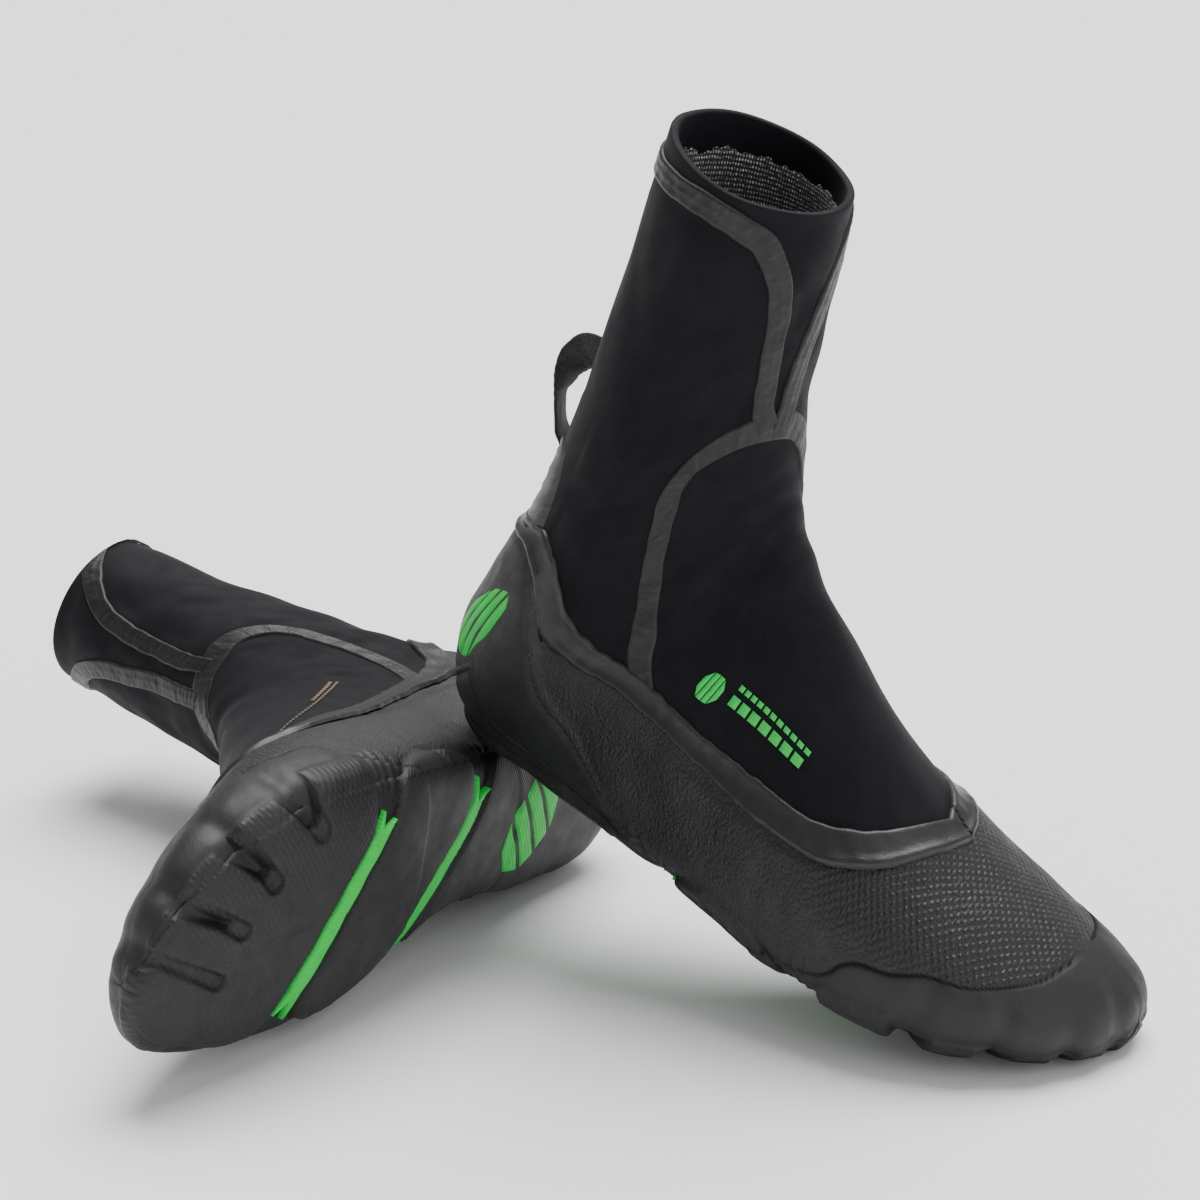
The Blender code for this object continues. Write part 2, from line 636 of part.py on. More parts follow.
Finish = namedtuple("Finish", "colour roughness")
SMOOTH_NEOPRENE = Finish(NEOPRENE_BLACK, 0.8)
SEAM_TAPE = Finish(TAPE_GREY, 0.45)
TEXTURED_RUBBER = Finish(RUBBER_GREY, 0.55)
SMOOTH_RUBBER = Finish(RUBBER_GREY, 0.4)
TREAD_RUBBER = Finish(SOLE_GREY, 0.6)
GREEN_RUBBER = Finish(ACCENT_GREEN, 0.5)
KNIT = Finish(KNIT_GREY, 0.95)
WEBBING = Finish(WEBBING_BLACK, 0.7)


def empty(name, parent, location, turn=(0.0, 0.0, 0.0)):
    """Empty that carries a body of the boot."""
    thing = bpy.data.objects.new(name, None)
    thing.location = Vector(location) * MM
    thing.rotation_euler = Euler([math.radians(value) for value in turn], "XYZ")
    thing.parent = parent
    bpy.context.scene.collection.objects.link(thing)
    return thing


class Boot:
    """Builds one boot's sub-parts and hangs them on its foot, its shaft and its pull loop."""

    def __init__(self, side, place, turn, lattice, collection):
        self.side = side
        self.lattice = lattice
        self.flip = -1.0 if side == "left" else 1.0
        self.collection = collection
        self.foot = empty(f"{side}_foot_frame", None, place, turn)
        self.shaft = empty(f"{side}_ankle_pivot", self.foot, ANKLE_AXIS)
        offset = [loop - ankle for loop, ankle in zip(LOOP_AXIS, ANKLE_AXIS)]
        self.loop = empty(f"{side}_loop_pivot", self.shaft, offset)
        self.origins = {self.foot: (0.0, 0.0, 0.0), self.shaft: ANKLE_AXIS, self.loop: LOOP_AXIS}

    def add(self, name, mesh, finish, parent):
        """Make an object of a mesh drawn in the boot's frame, and parent it."""
        origin = Vector(self.origins[parent])
        for vertex in mesh.verts:
            place = vertex.co - origin
            vertex.co = Vector((place.x, place.y * self.flip, place.z)) * MM
        if self.flip < 0:
            bmesh.ops.reverse_faces(mesh, faces=mesh.faces)
        full_name = f"{self.side}_{name}"
        data = bpy.data.meshes.new(full_name)
        mesh.to_mesh(data)
        mesh.free()
        data.materials.append(make_material(full_name, finish.colour, finish.roughness))
        thing = bpy.data.objects.new(full_name, data)
        thing.parent = parent
        self.collection.objects.link(thing)

    def build_upper(self):
        """Neoprene panels and the linings inside them."""
        quarter = quarter_outline()
        self.panel("vamp_panel", twisted(vamp_outline()), NEOPRENE, SMOOTH_NEOPRENE, self.foot, wraps=True)
        self.panel("outer_quarter", twisted(quarter), NEOPRENE, SMOOTH_NEOPRENE, self.foot)
        self.panel("inner_quarter", twisted(other_side(quarter)), NEOPRENE, SMOOTH_NEOPRENE, self.foot)
        self.panel("collar_and_gusset", twisted(collar_outline()), NEOPRENE, SMOOTH_NEOPRENE, self.shaft)
        self.panel("sole_panel", sole_outline(), NEOPRENE, SMOOTH_NEOPRENE, self.foot)
        side = side_lining_outline()
        self.panel("outer_lining", side, LINING, KNIT, self.foot, gap=LINING_GAP)
        self.panel("inner_lining", other_side(side), LINING, KNIT, self.foot, gap=LINING_GAP)
        self.panel("insole_lining", sole_outline(), LINING, KNIT, self.foot, gap=LINING_GAP)
        self.panel("shaft_lining", shaft_lining_outline(), LINING, KNIT, self.shaft, wraps=True)

    def build_tapes(self):
        """Tapes over the seams."""
        half = smooth_line((*ARCH_FRONT, *ARCH_SIDE[1:7], ARCH_TAPE_END))
        arch = np.concatenate((half[::-1], other_side(half)[1:]))
        self.panel("arch_tape", twisted(band(arch, TAPE_HALF_WIDTH)), TAPE, SEAM_TAPE, self.foot)
        collar = smooth_line((COLLAR_TAPE_START, *COLLAR_SEAM[1:], *COLLAR_BACK[:1], (437, -178)))
        outline = band(collar, COLLAR_TAPE_HALF_WIDTH)
        outline[:, 0] = np.minimum(outline[:, 0], BOOT_TOP - 0.3)
        self.panel("outer_collar_tape", twisted(outline), TAPE, SEAM_TAPE, self.shaft)
        self.panel("inner_collar_tape", twisted(other_side(outline)), TAPE, SEAM_TAPE, self.shaft)
        self.panel("heel_tab", back_tab_outline(), TAPE, SEAM_TAPE, self.foot)

    def build_rubber(self):
        """Rubber shell bonded round the foot."""
        self.panel("edge_tape", edge_tape_outline(), EDGE_TAPE, SMOOTH_RUBBER, self.foot)
        self.panel("foot_shell", shell_panels(), SHELL, TEXTURED_RUBBER, self.foot)
        self.panel("toe_rand", rand_outline(), RAND, SMOOTH_RUBBER, self.foot, wraps=True)
        self.panel("heel_counter", counter_outline(), COUNTER, SMOOTH_RUBBER, self.foot)
        self.panel("heel_badge", badge_outline(), BADGE, GREEN_RUBBER, self.foot)
        self.panel("outsole", sole_outline(), OUTSOLE, TREAD_RUBBER, self.foot)

    def build_tread(self):
        """Tread pads, flex strips and emblem under the outsole."""
        sole = Sole(self.lattice)
        plug = sole.places(ellipse(EMBLEM_CENTRE, EMBLEM_SIZE, EMBLEM_SIDES))
        heel = sole.places(cut_corners(HEEL, 2))
        self.panel("forefoot_tread", sole.places(cut_corners(FOREFOOT, 1)), TREAD, TREAD_RUBBER, self.foot)
        self.panel("midfoot_tread", sole.places(cut_corners(MIDFOOT, 2)), TREAD, TREAD_RUBBER, self.foot)
        self.panel("heel_tread", heel, TREAD, TREAD_RUBBER, self.foot, holes=[plug], level=HEEL_FLAT)
        self.panel("sole_emblem", plug, TREAD, GREEN_RUBBER, self.foot, level=HEEL_FLAT)
        self.panel("front_flex_strip", sole.places(forked_strip(FRONT_STRIP)), STRIP, GREEN_RUBBER, self.foot)
        self.panel("rear_flex_strip", sole.places(forked_strip(REAR_STRIP)), STRIP, GREEN_RUBBER, self.foot)

    def build(self):
        """Build every sub-part of the boot."""
        self.build_upper()
        self.build_tapes()
        self.build_rubber()
        self.build_tread()
        self.add("pull_loop", strap(), WEBBING, self.loop)

    def panel(self, name, outline, layer, finish, parent, holes=(), gap=SEAM_GAP, wraps=False, level=None):
        """Make one layered sub-part and add it."""
        mesh = panel(self.lattice, [outline, *holes], layer, gap, wraps, level)
        self.add(name, mesh, finish, parent)


def main():
    """Clear the scene and build both boots."""
    for thing in list(bpy.data.objects):
        bpy.data.objects.remove(thing, do_unlink=True)
    collection = new_collection(COLLECTION_NAME)
    lattice = Lattice()
    Boot("right", RIGHT_PLACE, RIGHT_TURN, lattice, collection).build()
    Boot("left", LEFT_PLACE, LEFT_TURN, lattice, collection).build()


main()
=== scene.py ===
"""Looks of a pair of neoprene surf boots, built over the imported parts.

Each boot is laid out in its own frame in millimetres: X from heel to toes, Y to the inner side on the right
boot, Z up.  A place on it is a distance along the boot from the toe tip and an angle round it: 0 degrees is
the front, 180 the sole and back, negative the outer side.
"""

import json
import math

import bpy
import numpy as np
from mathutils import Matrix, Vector
from mathutils.bvhtree import BVHTree


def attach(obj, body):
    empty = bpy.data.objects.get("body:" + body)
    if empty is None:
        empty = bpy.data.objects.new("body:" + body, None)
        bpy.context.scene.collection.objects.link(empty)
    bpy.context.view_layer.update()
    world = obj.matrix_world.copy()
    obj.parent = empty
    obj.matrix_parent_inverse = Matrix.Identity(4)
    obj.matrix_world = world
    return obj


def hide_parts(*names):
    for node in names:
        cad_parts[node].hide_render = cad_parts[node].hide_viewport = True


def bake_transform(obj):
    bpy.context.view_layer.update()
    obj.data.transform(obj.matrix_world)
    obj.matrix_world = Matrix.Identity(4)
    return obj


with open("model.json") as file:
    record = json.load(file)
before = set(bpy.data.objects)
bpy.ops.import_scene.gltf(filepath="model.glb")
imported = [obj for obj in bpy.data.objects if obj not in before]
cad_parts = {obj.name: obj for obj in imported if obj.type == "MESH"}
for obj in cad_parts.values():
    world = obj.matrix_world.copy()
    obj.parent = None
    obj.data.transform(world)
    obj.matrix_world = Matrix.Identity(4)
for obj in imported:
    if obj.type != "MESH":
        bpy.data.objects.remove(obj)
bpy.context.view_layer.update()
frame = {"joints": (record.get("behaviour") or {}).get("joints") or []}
MM = 0.001
JOINTS = {joint["name"]: joint for joint in frame["joints"]}
# In the boot's own frame: x and z of the ankle joint, the lean of the pull loop's hinge, and for soft pieces
# the two bodies they join and the points where the bend starts and ends.
ANKLE = (72, 96)
LOOP_LEAN = math.atan2(4.6, 36.3)
BENDS = {"ankle": ("foot", "shaft", ((75.0, 0.0, 100.0), (75.0, 0.0, 158.0))),
         "pull": ("loop", "shaft", ((5.0, 0.0, 138.3), (13.5, 0.0, 138.3)))}

# -------- shape of the boot
# distance along, lowest x z, highest x z, reach to the outer and inner side, level of the widest point, and
# squareness at the outer edge, inner edge and top of each cross-section.
STATIONS = np.array((
    (0, 277, 18, 277, 18, 11, 11, 0.45, 2.2, 2.2, 2.0),
    (5, 275.5, 12, 275, 24, 1, 21, 0.45, 2.4, 2.4, 2.0),
    (12, 271, 10, 269.5, 28.5, -11, 30, 0.44, 2.6, 2.6, 2.0),
    (22, 262, 8, 260, 33, -24, 36.5, 0.42, 2.8, 2.8, 2.0),
    (36, 248, 5.6, 246, 39, -36, 41, 0.38, 3.0, 3.0, 2.0),
    (54, 230, 2.5, 228, 46, -46, 44, 0.36, 3.2, 3.0, 2.0),
    (80, 204, -1.0, 203, 57, -52, 45, 0.33, 3.2, 3.0, 2.0),
    (110, 174, -2.5, 176, 73, -51, 41, 0.30, 3.2, 2.6, 1.9),
    (140, 144, -1.2, 151, 92.5, -47, 36, 0.29, 3.2, 2.3, 1.85),
    (168, 112, 1.8, 130, 110, -42, 33, 0.29, 3.3, 2.2, 1.85),
    (195, 80, 3.8, 117, 121.5, -39, 33.5, 0.33, 3.3, 2.5, 1.9),
    (220, 48, 4.8, 109.5, 129.5, -37.5, 35, 0.38, 3.1, 2.8, 1.95),
    (243, 18, 6.0, 104.5, 136, -38, 36.5, 0.42, 2.7, 2.6, 2.0),
    (260, 2, 17, 101.5, 142.5, -38.5, 37.5, 0.45, 2.3, 2.2, 2.0),
    (275, -2.5, 36, 99, 149.5, -39, 38, 0.47, 2.1, 2.1, 2.0),
    (295, 1.5, 60, 96.5, 158, -39, 38.5, 0.48, 2.0, 2.0, 2.0),
    (315, 8, 84, 94.5, 167, -38.5, 38, 0.49, 2.0, 2.0, 2.0),
    (335, 12.2, 105, 92.2, 178, -37.5, 37, 0.5, 2.0, 2.0, 2.0),
    (360, 15.7, 135, 89.7, 195, -36, 35.5, 0.5, 2.0, 2.0, 2.0),
    (390, 17.7, 172, 88.2, 216, -34.5, 34.5, 0.5, 2.0, 2.0, 2.0),
    (415, 19.0, 209, 86.0, 236, -33, 33, 0.5, 2.0, 2.0, 2.0),
    (440, 20.0, 250, 84.5, 257, -32, 32, 0.5, 2.0, 2.0, 2.0),
))
TOP = 440.0
RIM_DROP = 16.5
LINING_EDGE = 8.0  # how far the lining ends below the rim
FLAT = 38.0 * math.pi / 180  # millimetres to a degree round the boot, about

RUBBER_TOP = ((90, 0), (95, -15), (105, -34), (124, -52), (149, -61), (176, -68), (212, -74), (234, -78),
              (264, -87), (297, -103), (312, -118), (321, -145), (324, -180))
RUBBER_LOWER = ((80, 0), (84, -15), (94, -38), (113, -58), (143, -69), (172, -74), (208, -80), (231, -84),
                (259, -93), (291, -108), (306, -123), (315, -148), (318, -180))
# Seam tapes of each boot: over the arch from the outer to the inner side, and down the outer and inner sides of
# the collar.
ARCH_LINES = {
    "right": ((206, -79), (221, -74), (235, -67), (252, -62), (270, -60), (291, -60), (309, -60.5), (319, -56),
              (324, -47), (325, -36), (323, -22), (317, -6), (308, 3), (294, 10), (279, 16), (262, 23), (245, 31),
              (228, 43), (216, 56), (208, 70), (200, 80)),
    "left": ((232, -81), (251, -75), (266, -71), (284, -67), (298, -64.5), (307, -59), (310, -49), (306, -38),
             (298, -29), (289, -19), (277, -8), (265, 2), (250, 9), (232, 16), (216, 25), (203, 36), (196, 50),
             (192, 66), (186, 78)),
}
COLLAR_OUTER = {
    "right": ((322, -23), (338, -28.5), (354, -29.5), (370, -31), (385, -33), (396, -36), (406, -42), (416, -53),
              (422, -69), (427, -90), (430, -115), (432, -145), (433, -182)),
    "left": ((293, -24), (319, -19.5), (349, -18), (375, -19), (399, -26), (414, -39), (424, -53), (431, -68),
             (435, -88), (436, -120), (437, -182)),
}
COLLAR_INNER = {
    "right": ((318, -17), (327, -14.5), (347, -10.5), (366, -4.5), (388, 2.5), (403, 12), (414, 26), (422, 48),
              (428, 78), (432, 120), (433, 178)),
    "left": ((277, -4), (305, -1), (336, 2), (363, 9), (389, 15.5), (404, 26), (413, 40), (423, 60), (430, 88),
             (435, 125), (437, 178)),
}
RAND_LINE = ((29, 0), (31, -22), (35, -42), (43, -55), (52, -64), (66, -69), (76, -77), (90, -83), (100, -99),
             (112, -112), (128, -126))
COUNTER_LINE = ((318, -121), (304, -119), (292, -110), (276, -103), (256, -99), (236, -100), (214, -104),
                (200, -112), (188, -128))
SOLE_EDGE = 128.0
# Pull loop: x, z, half its width, and how far the webbing is turned edge-up.
LOOP_LINE = ((18.4, 155.5, 7.2, 84), (13.5, 156.0, 7.6, 78), (8.8, 153.2, 7.6, 60), (5.8, 147.0, 7.0, 32),
             (4.8, 139.5, 6.6, 2), (5.2, 131.5, 6.4, -16), (7.6, 124.8, 6.4, -14), (11.6, 120.4, 6.2, -6),
             (14.4, 118.6, 6.0, 0))

HEEL_PAD = ((109, -31), (100, -36.5), (75, -36), (48, -33), (22, -26), (9, -13), (7, 0), (12, 14), (26, 23),
            (50, 27), (75, 23), (100, 17), (128, 15), (140, 17), (149, 23), (152, 21), (131, -7))
MID_PAD = ((117, -36), (125, -41), (145, -46), (168, -46), (172, -36), (190, -6), (209, 31), (206, 36), (196, 39),
           (180, 37), (160, 24), (140, -2))
FORE_PAD = ((184, -38), (196, -42), (214, -37), (230, -28), (241, -17), (250, -4), (256, 12), (258, 30),
            (246, 39), (232, 41), (224, 37), (218, 24), (202, -6))
# Toe pads: two ends, radius and upper limit.  Notches between them: two ends and radius.
TOE_PADS = (((240, 18), (266, 17.5), 17.0, 16.0), ((240, 2), (269, -6), 8.2, 14.0),
            ((232, -12), (258, -25), 8.4, 13.0), ((218, -25), (238, -43), 9.0, 12.0),
            ((200, -30), (199, -49), 13.5, 12.0))
NOTCHES = (((284, -7), (250, 10.5), 2.4), ((277, -27), (243, -7), 2.6), ((256, -50), (232, -22), 2.8),
           ((229, -63), (213, -36.5), 2.9))
FRONT_STRIP = ((178, -36), (198, -4), (217, 33))
REAR_STRIP = ((113.5, -31.8), (127, -16), (140, -1), (156, 22))
# Where the treads of the heel, the middle and the forefoot meet, measured along the strips' slant.
MIDFOOT, FOREFOOT = 134.5, 199.5

# Cross-sections of the bands: share across and height.
TAPE = ((0, -0.25), (0.02, 0.3), (0.05, 0.75), (0.11, 1.0), (0.2, 0.92), (0.32, 0.85), (0.44, 0.95), (0.5, 1.02),
        (0.56, 0.95), (0.68, 0.85), (0.8, 0.92), (0.89, 1.0), (0.95, 0.75), (0.98, 0.3), (1, -0.25))
EDGE_BAND = ((0, -0.2), (0.015, 0.5), (0.04, 1.0), (0.09, 1.25), (0.18, 1.25), (0.3, 1.3), (0.42, 1.45),
             (0.54, 1.7), (0.64, 2.0), (0.72, 2.45), (0.79, 2.8), (0.85, 2.85), (0.9, 2.6), (0.95, 2.0), (1, 1.2))


def spline(knots, values, wanted):
    """Smooth curve through values at the knots."""
    slopes = np.zeros_like(values)
    steps = np.diff(knots)[:, None]
    rates = np.diff(values, axis=0) / steps
    slopes[1:-1] = (rates[:-1] * steps[1:] + rates[1:] * steps[:-1]) / (steps[1:] + steps[:-1])
    slopes[0] = rates[0]
    slopes[-1] = rates[-1]
    i = np.clip(np.searchsorted(knots, wanted) - 1, 0, len(knots) - 2)
    width = (knots[i + 1] - knots[i])[:, None]
    t = (wanted - knots[i])[:, None] / width
    start = (2 * t ** 3 - 3 * t ** 2 + 1) * values[i] + (t ** 3 - 2 * t ** 2 + t) * width * slopes[i]
    return start + (3 * t ** 2 - 2 * t ** 3) * values[i + 1] + (t ** 3 - t ** 2) * width * slopes[i + 1]


def cos_sin(degrees):
    return math.cos(math.radians(degrees)), math.sin(math.radians(degrees))


def signed_power(values, exponent):
    return np.sign(values) * np.abs(values) ** exponent


def surface(along, degrees):
    """Points of the boot at distances along it and angles round it, both flat arrays."""
    angle = np.radians(degrees)
    values = spline(STATIONS[:, 0], STATIONS[:, 1:], np.clip(along, 0, TOP))
    outer, inner, widest, sole, arch, upper = values[:, 4:].T
    cosine, sine = np.cos(angle), np.sin(angle)
    power = 2.0 / np.where(cosine >= 0, upper, np.where(sine > 0, arch, sole))
    height = widest + np.where(cosine >= 0, 1 - widest, widest) * signed_power(cosine, power)
    centre = values[:, 0:2] + (values[:, 2:4] - values[:, 0:2]) * height[:, None]
    side = (outer + inner) / 2 + (inner - outer) / 2 * signed_power(sine, power)
    return np.column_stack((centre[:, 0], side, centre[:, 1]))


def normals(along, degrees):
    """Outward unit normals of the surface."""
    along = np.clip(along, 1.0, TOP)
    run = surface(np.minimum(along + 1.0, TOP), degrees) - surface(along - 1.0, degrees)
    turn = surface(along, degrees + 1.5) - surface(along, degrees - 1.5)
    return unit(np.cross(turn, run))


def rim(degrees):
    """Distance along the boot of the cut rim, lowest at the front."""
    share = (1 + np.cos(np.radians(degrees + 10))) / 2
    return TOP - RIM_DROP * share ** 1.4


def lowered(along, degrees):
    """Brings the top of the shaft down to the rim."""
    return along - (TOP - rim(degrees)) * step((along - 412) * 0.98, 56)


def unit(vectors):
    return vectors / np.linalg.norm(vectors, axis=-1, keepdims=True)


def running(points):
    """Length of a line up to each of its points."""
    return np.concatenate(([0.0], np.cumsum(np.linalg.norm(np.diff(points, axis=0), axis=1))))


def smooth_line(points, step=2.0):
    """Evenly stepped curve through a few points."""
    points = np.asarray(points, dtype=float)
    knots = running(points)
    dense = spline(knots, points, np.linspace(0, knots[-1], 400))
    run = running(dense)
    count = max(3, int(run[-1] / step) + 1)
    wanted = np.linspace(0, run[-1], count)
    return np.column_stack([np.interp(wanted, run, dense[:, k]) for k in range(dense.shape[1])])


def flatten(places):
    """Places with their angles turned to flat millimetres."""
    return np.asarray(places, float) * (1, FLAT)


def place_line(places, step=2.0):
    """Smooth line through places, in flat millimetres."""
    return smooth_line(flatten(places), step)


def crosswise(path, scale=1.0):
    """Vectors across a flat path; the scale is the size of one unit of each coordinate."""
    tangent = unit(np.gradient(path, axis=0) * scale)
    return np.column_stack((-tangent[:, 1], tangent[:, 0])) / scale


def mirrored(line):
    """The line on the outer side, then back along the inner side."""
    return np.concatenate((line[::-1], (line * (1.0, -1.0))[1:]))


def step(values, width):
    """Soft step from 0 to 1, centred where the value is 0."""
    t = np.clip(values / width + 0.5, 0, 1)
    return t * t * (3 - 2 * t)


def bump(values, width):
    return np.exp(-(values / width) ** 2)


def ripple(points, wavelength, seed, waves=14):
    """Soft random field with about unit amplitude."""
    rng = np.random.RandomState(seed)
    k = rng.normal(size=(waves, 3))
    k *= (2 * math.pi / wavelength * rng.uniform(0.6, 1.5, waves) / np.linalg.norm(k, axis=1))[:, None]
    phase = rng.uniform(0, 2 * math.pi, waves)
    return np.sin(points @ k.T + phase).sum(axis=1) / math.sqrt(waves / 2)


def wobble(run, wavelength, seed):
    """Soft random values along a line."""
    return ripple(np.column_stack((run, 0 * run, 0 * run)), wavelength, seed)


def line_distance(points, line):
    """Distance of flat points to an open line."""
    best = np.full(len(points), 1e9)
    for a, b in zip(line[:-1], line[1:]):
        ab = b - a
        t = np.clip((points - a) @ ab / max(ab @ ab, 1e-9), 0, 1)
        best = np.minimum(best, np.linalg.norm(points - a - t[:, None] * ab, axis=1))
    return best


def within(points, outline):
    """Which flat points are inside a closed outline."""
    x, y = points.T
    count = np.zeros(len(points), int)
    for (x1, y1), (x2, y2) in zip(outline, np.roll(outline, -1, axis=0)):
        crosses = (y1 > y) != (y2 > y)
        if y1 != y2:
            count += crosses & (x < (x2 - x1) * (y - y1) / (y2 - y1) + x1)
    return count % 2 == 1


def signed_distance(points, outline):
    """Distance to a closed outline, negative inside."""
    closed = np.concatenate((outline, outline[:1]))
    return line_distance(points, closed) * np.where(within(points, outline), -1, 1)


def rounded(points, rounds=3):
    points = np.asarray(points, dtype=float)
    for _ in range(rounds):
        following = np.roll(points, -1, axis=0)
        points = np.stack((points * 0.75 + following * 0.25, points * 0.25 + following * 0.75), axis=1)
        points = points.reshape(-1, 2)
    return points


def capsule(points, a, b, radius):
    a, b = np.array(a, float), np.array(b, float)
    return line_distance(points, np.array((a, b))) - radius


def soft_min(a, b, k):
    h = np.clip(0.5 + 0.5 * (b - a) / k, 0, 1)
    return b * (1 - h) + a * h - k * h * (1 - h)


# -------- materials
class Paint:
    """A Principled material put together from nodes."""

    def __init__(self, name, colour, roughness, **sockets):
        self.material = bpy.data.materials.new(name)
        self.material.use_nodes = True
        self.tree = self.material.node_tree
        self.shader = self.tree.nodes["Principled BSDF"]
        self.shader.inputs["Base Color"].default_value = (*colour, 1)
        self.shader.inputs["Roughness"].default_value = roughness
        self.material.diffuse_color = (*colour, 1)
        for socket, value in sockets.items():
            self.shader.inputs[socket.replace("_", " ")].default_value = value
        self.height = None

    def node(self, kind, inputs=(), **settings):
        node = self.tree.nodes.new(kind)
        for key, value in settings.items():
            setattr(node, key, value)
        for key, value in dict(inputs).items():
            if isinstance(value, bpy.types.NodeSocket):
                self.tree.links.new(value, node.inputs[key])
            else:
                node.inputs[key].default_value = value
        return node

    def attribute(self, name, output="Vector"):
        return self.node("ShaderNodeAttribute", attribute_name=name).outputs[output]

    def math(self, operation, a, b, clamp=False):
        return self.node("ShaderNodeMath", {0: a, 1: b}, operation=operation, use_clamp=clamp).outputs[0]

    def times(self, a, b):
        return self.math("MULTIPLY", a, b)

    def noise(self, vector, scale, detail=2.0, rough=0.5):
        inputs = {"Vector": vector, "Scale": scale, "Detail": detail, "Roughness": rough}
        return self.node("ShaderNodeTexNoise", inputs).outputs["Fac"]

    def cells(self, vector, scale, feature):
        inputs = {"Vector": vector, "Scale": scale}
        return self.node("ShaderNodeTexVoronoi", inputs, feature=feature).outputs["Distance"]

    def bands(self, vector, scale, distortion=0.0, direction="X"):
        inputs = {"Vector": vector, "Scale": scale, "Distortion": distortion, "Detail": 1.0}
        return self.node("ShaderNodeTexWave", inputs, bands_direction=direction).outputs["Fac"]

    def crossed(self, vector, degrees, scale, distortion=0.0):
        """Two slanted sets of bands that cross."""
        return self.times(self.bands(self.turned(vector, degrees), scale, distortion),
                          self.bands(self.turned(vector, -degrees), scale, distortion))

    def turned(self, vector, degrees=0.0, scale=(1, 1, 1)):
        inputs = {"Vector": vector, "Rotation": (0, 0, math.radians(degrees)), "Scale": scale}
        return self.node("ShaderNodeMapping", inputs).outputs["Vector"]

    def ramp(self, value, low, high, to_low=0.0, to_high=1.0):
        inputs = {"Value": value, "From Min": low, "From Max": high, "To Min": to_low, "To Max": to_high}
        return self.node("ShaderNodeMapRange", inputs).outputs["Result"]

    def mix(self, factor, a, b):
        return self.node("ShaderNodeMix", {0: factor, 2: a, 3: b}, data_type="FLOAT").outputs[0]

    def raise_by(self, height, distance, strength=1.0):
        """Add relief to the normal, distance in millimetres."""
        inputs = {"Height": height, "Distance": distance * MM, "Strength": strength}
        if self.height is not None:
            inputs["Normal"] = self.height
        self.height = self.node("ShaderNodeBump", inputs).outputs["Normal"]
        self.tree.links.new(self.height, self.shader.inputs["Normal"])

    def tint(self, factor, colour):
        """Mix the base colour towards another by a factor."""
        base = self.shader.inputs["Base Color"]
        under = base.links[0].from_socket if base.links else base.default_value
        node = self.node("ShaderNodeMix", {0: factor, 6: under, 7: (*colour, 1)}, data_type="RGBA")
        self.tree.links.new(node.outputs[2], base)

    def roughen(self, value, low, high):
        """Roughness from low to high with a noise."""
        self.tree.links.new(self.ramp(value, 0.3, 0.7, low, high), self.shader.inputs["Roughness"])


def paint_neoprene():
    p = Paint("neoprene skin", (0.0032, 0.0031, 0.0052), 0.74, Sheen_Weight=0.03, Sheen_Roughness=0.5,
              Specular_IOR_Level=0.14)
    flat = p.attribute("flat")
    knit = p.times(p.bands(flat, 0.55), p.bands(flat, 0.42, direction="Y"))
    p.raise_by(p.noise(flat, 1.9, 3.0), 0.05)
    p.raise_by(knit, 0.03, 0.6)
    p.tint(p.ramp(p.noise(flat, 0.035, 3.0), 0.35, 0.75, 0.0, 0.5), (0.0062, 0.0061, 0.0094))
    p.roughen(p.noise(flat, 0.09, 3.0), 0.66, 0.8)
    return p


def paint_tape():
    p = Paint("seam tape", (0.0052, 0.0052, 0.0055), 0.46, Specular_IOR_Level=0.3)
    flat = p.attribute("flat")
    grain = p.noise(p.turned(flat, 0, (1.0, 0.35, 1.0)), 0.42, 5.0, 0.62)
    broad = p.noise(p.turned(flat, 0, (1.0, 0.5, 1.0)), 0.07, 3.0, 0.6)
    p.raise_by(grain, 0.4)
    p.raise_by(p.noise(flat, 1.6, 2.0), 0.03)
    # Painted highlights: the tape is lightened in noisy streaks, standing in for light on its wrinkles.
    p.tint(p.ramp(broad, 0.42, 0.68, 0.0, 0.9), (0.012, 0.012, 0.0117))
    p.tint(p.ramp(grain, 0.5, 0.7, 0.0, 0.85), (0.021, 0.021, 0.0203))
    # Painted highlight along the raised edges of the tape.
    p.tint(p.ramp(p.attribute("margin", "Fac"), 0.3, 1.0, 0.0, 0.6), (0.024, 0.024, 0.0233))
    p.roughen(broad, 0.5, 0.36)
    return p


def paint_crease_shade_and_ridge_highlight(p):
    """Painted shade along the moulded grooves and lines, and a painted highlight on the ridge round the heel and
    on band edges.
    """
    line = p.attribute("painted_crease_shade", "Fac")
    level = p.shader.inputs["Specular IOR Level"]
    # Painted shade: the reflection is turned down along the crease lines.
    p.tree.links.new(p.ramp(line, 0.2, 0.75, level.default_value, 0.0), level)
    # Painted shade: the colour is darkened towards black along the crease lines.
    p.tint(p.times(p.ramp(line, 0.25, 0.8), 0.85), (0.0015, 0.0015, 0.0016))
    # Painted highlight: the colour is lightened along ridges and band edges.
    p.tint(p.times(p.attribute("ridge_and_painted_highlight", "Fac"), 0.45), (0.035, 0.035, 0.035))


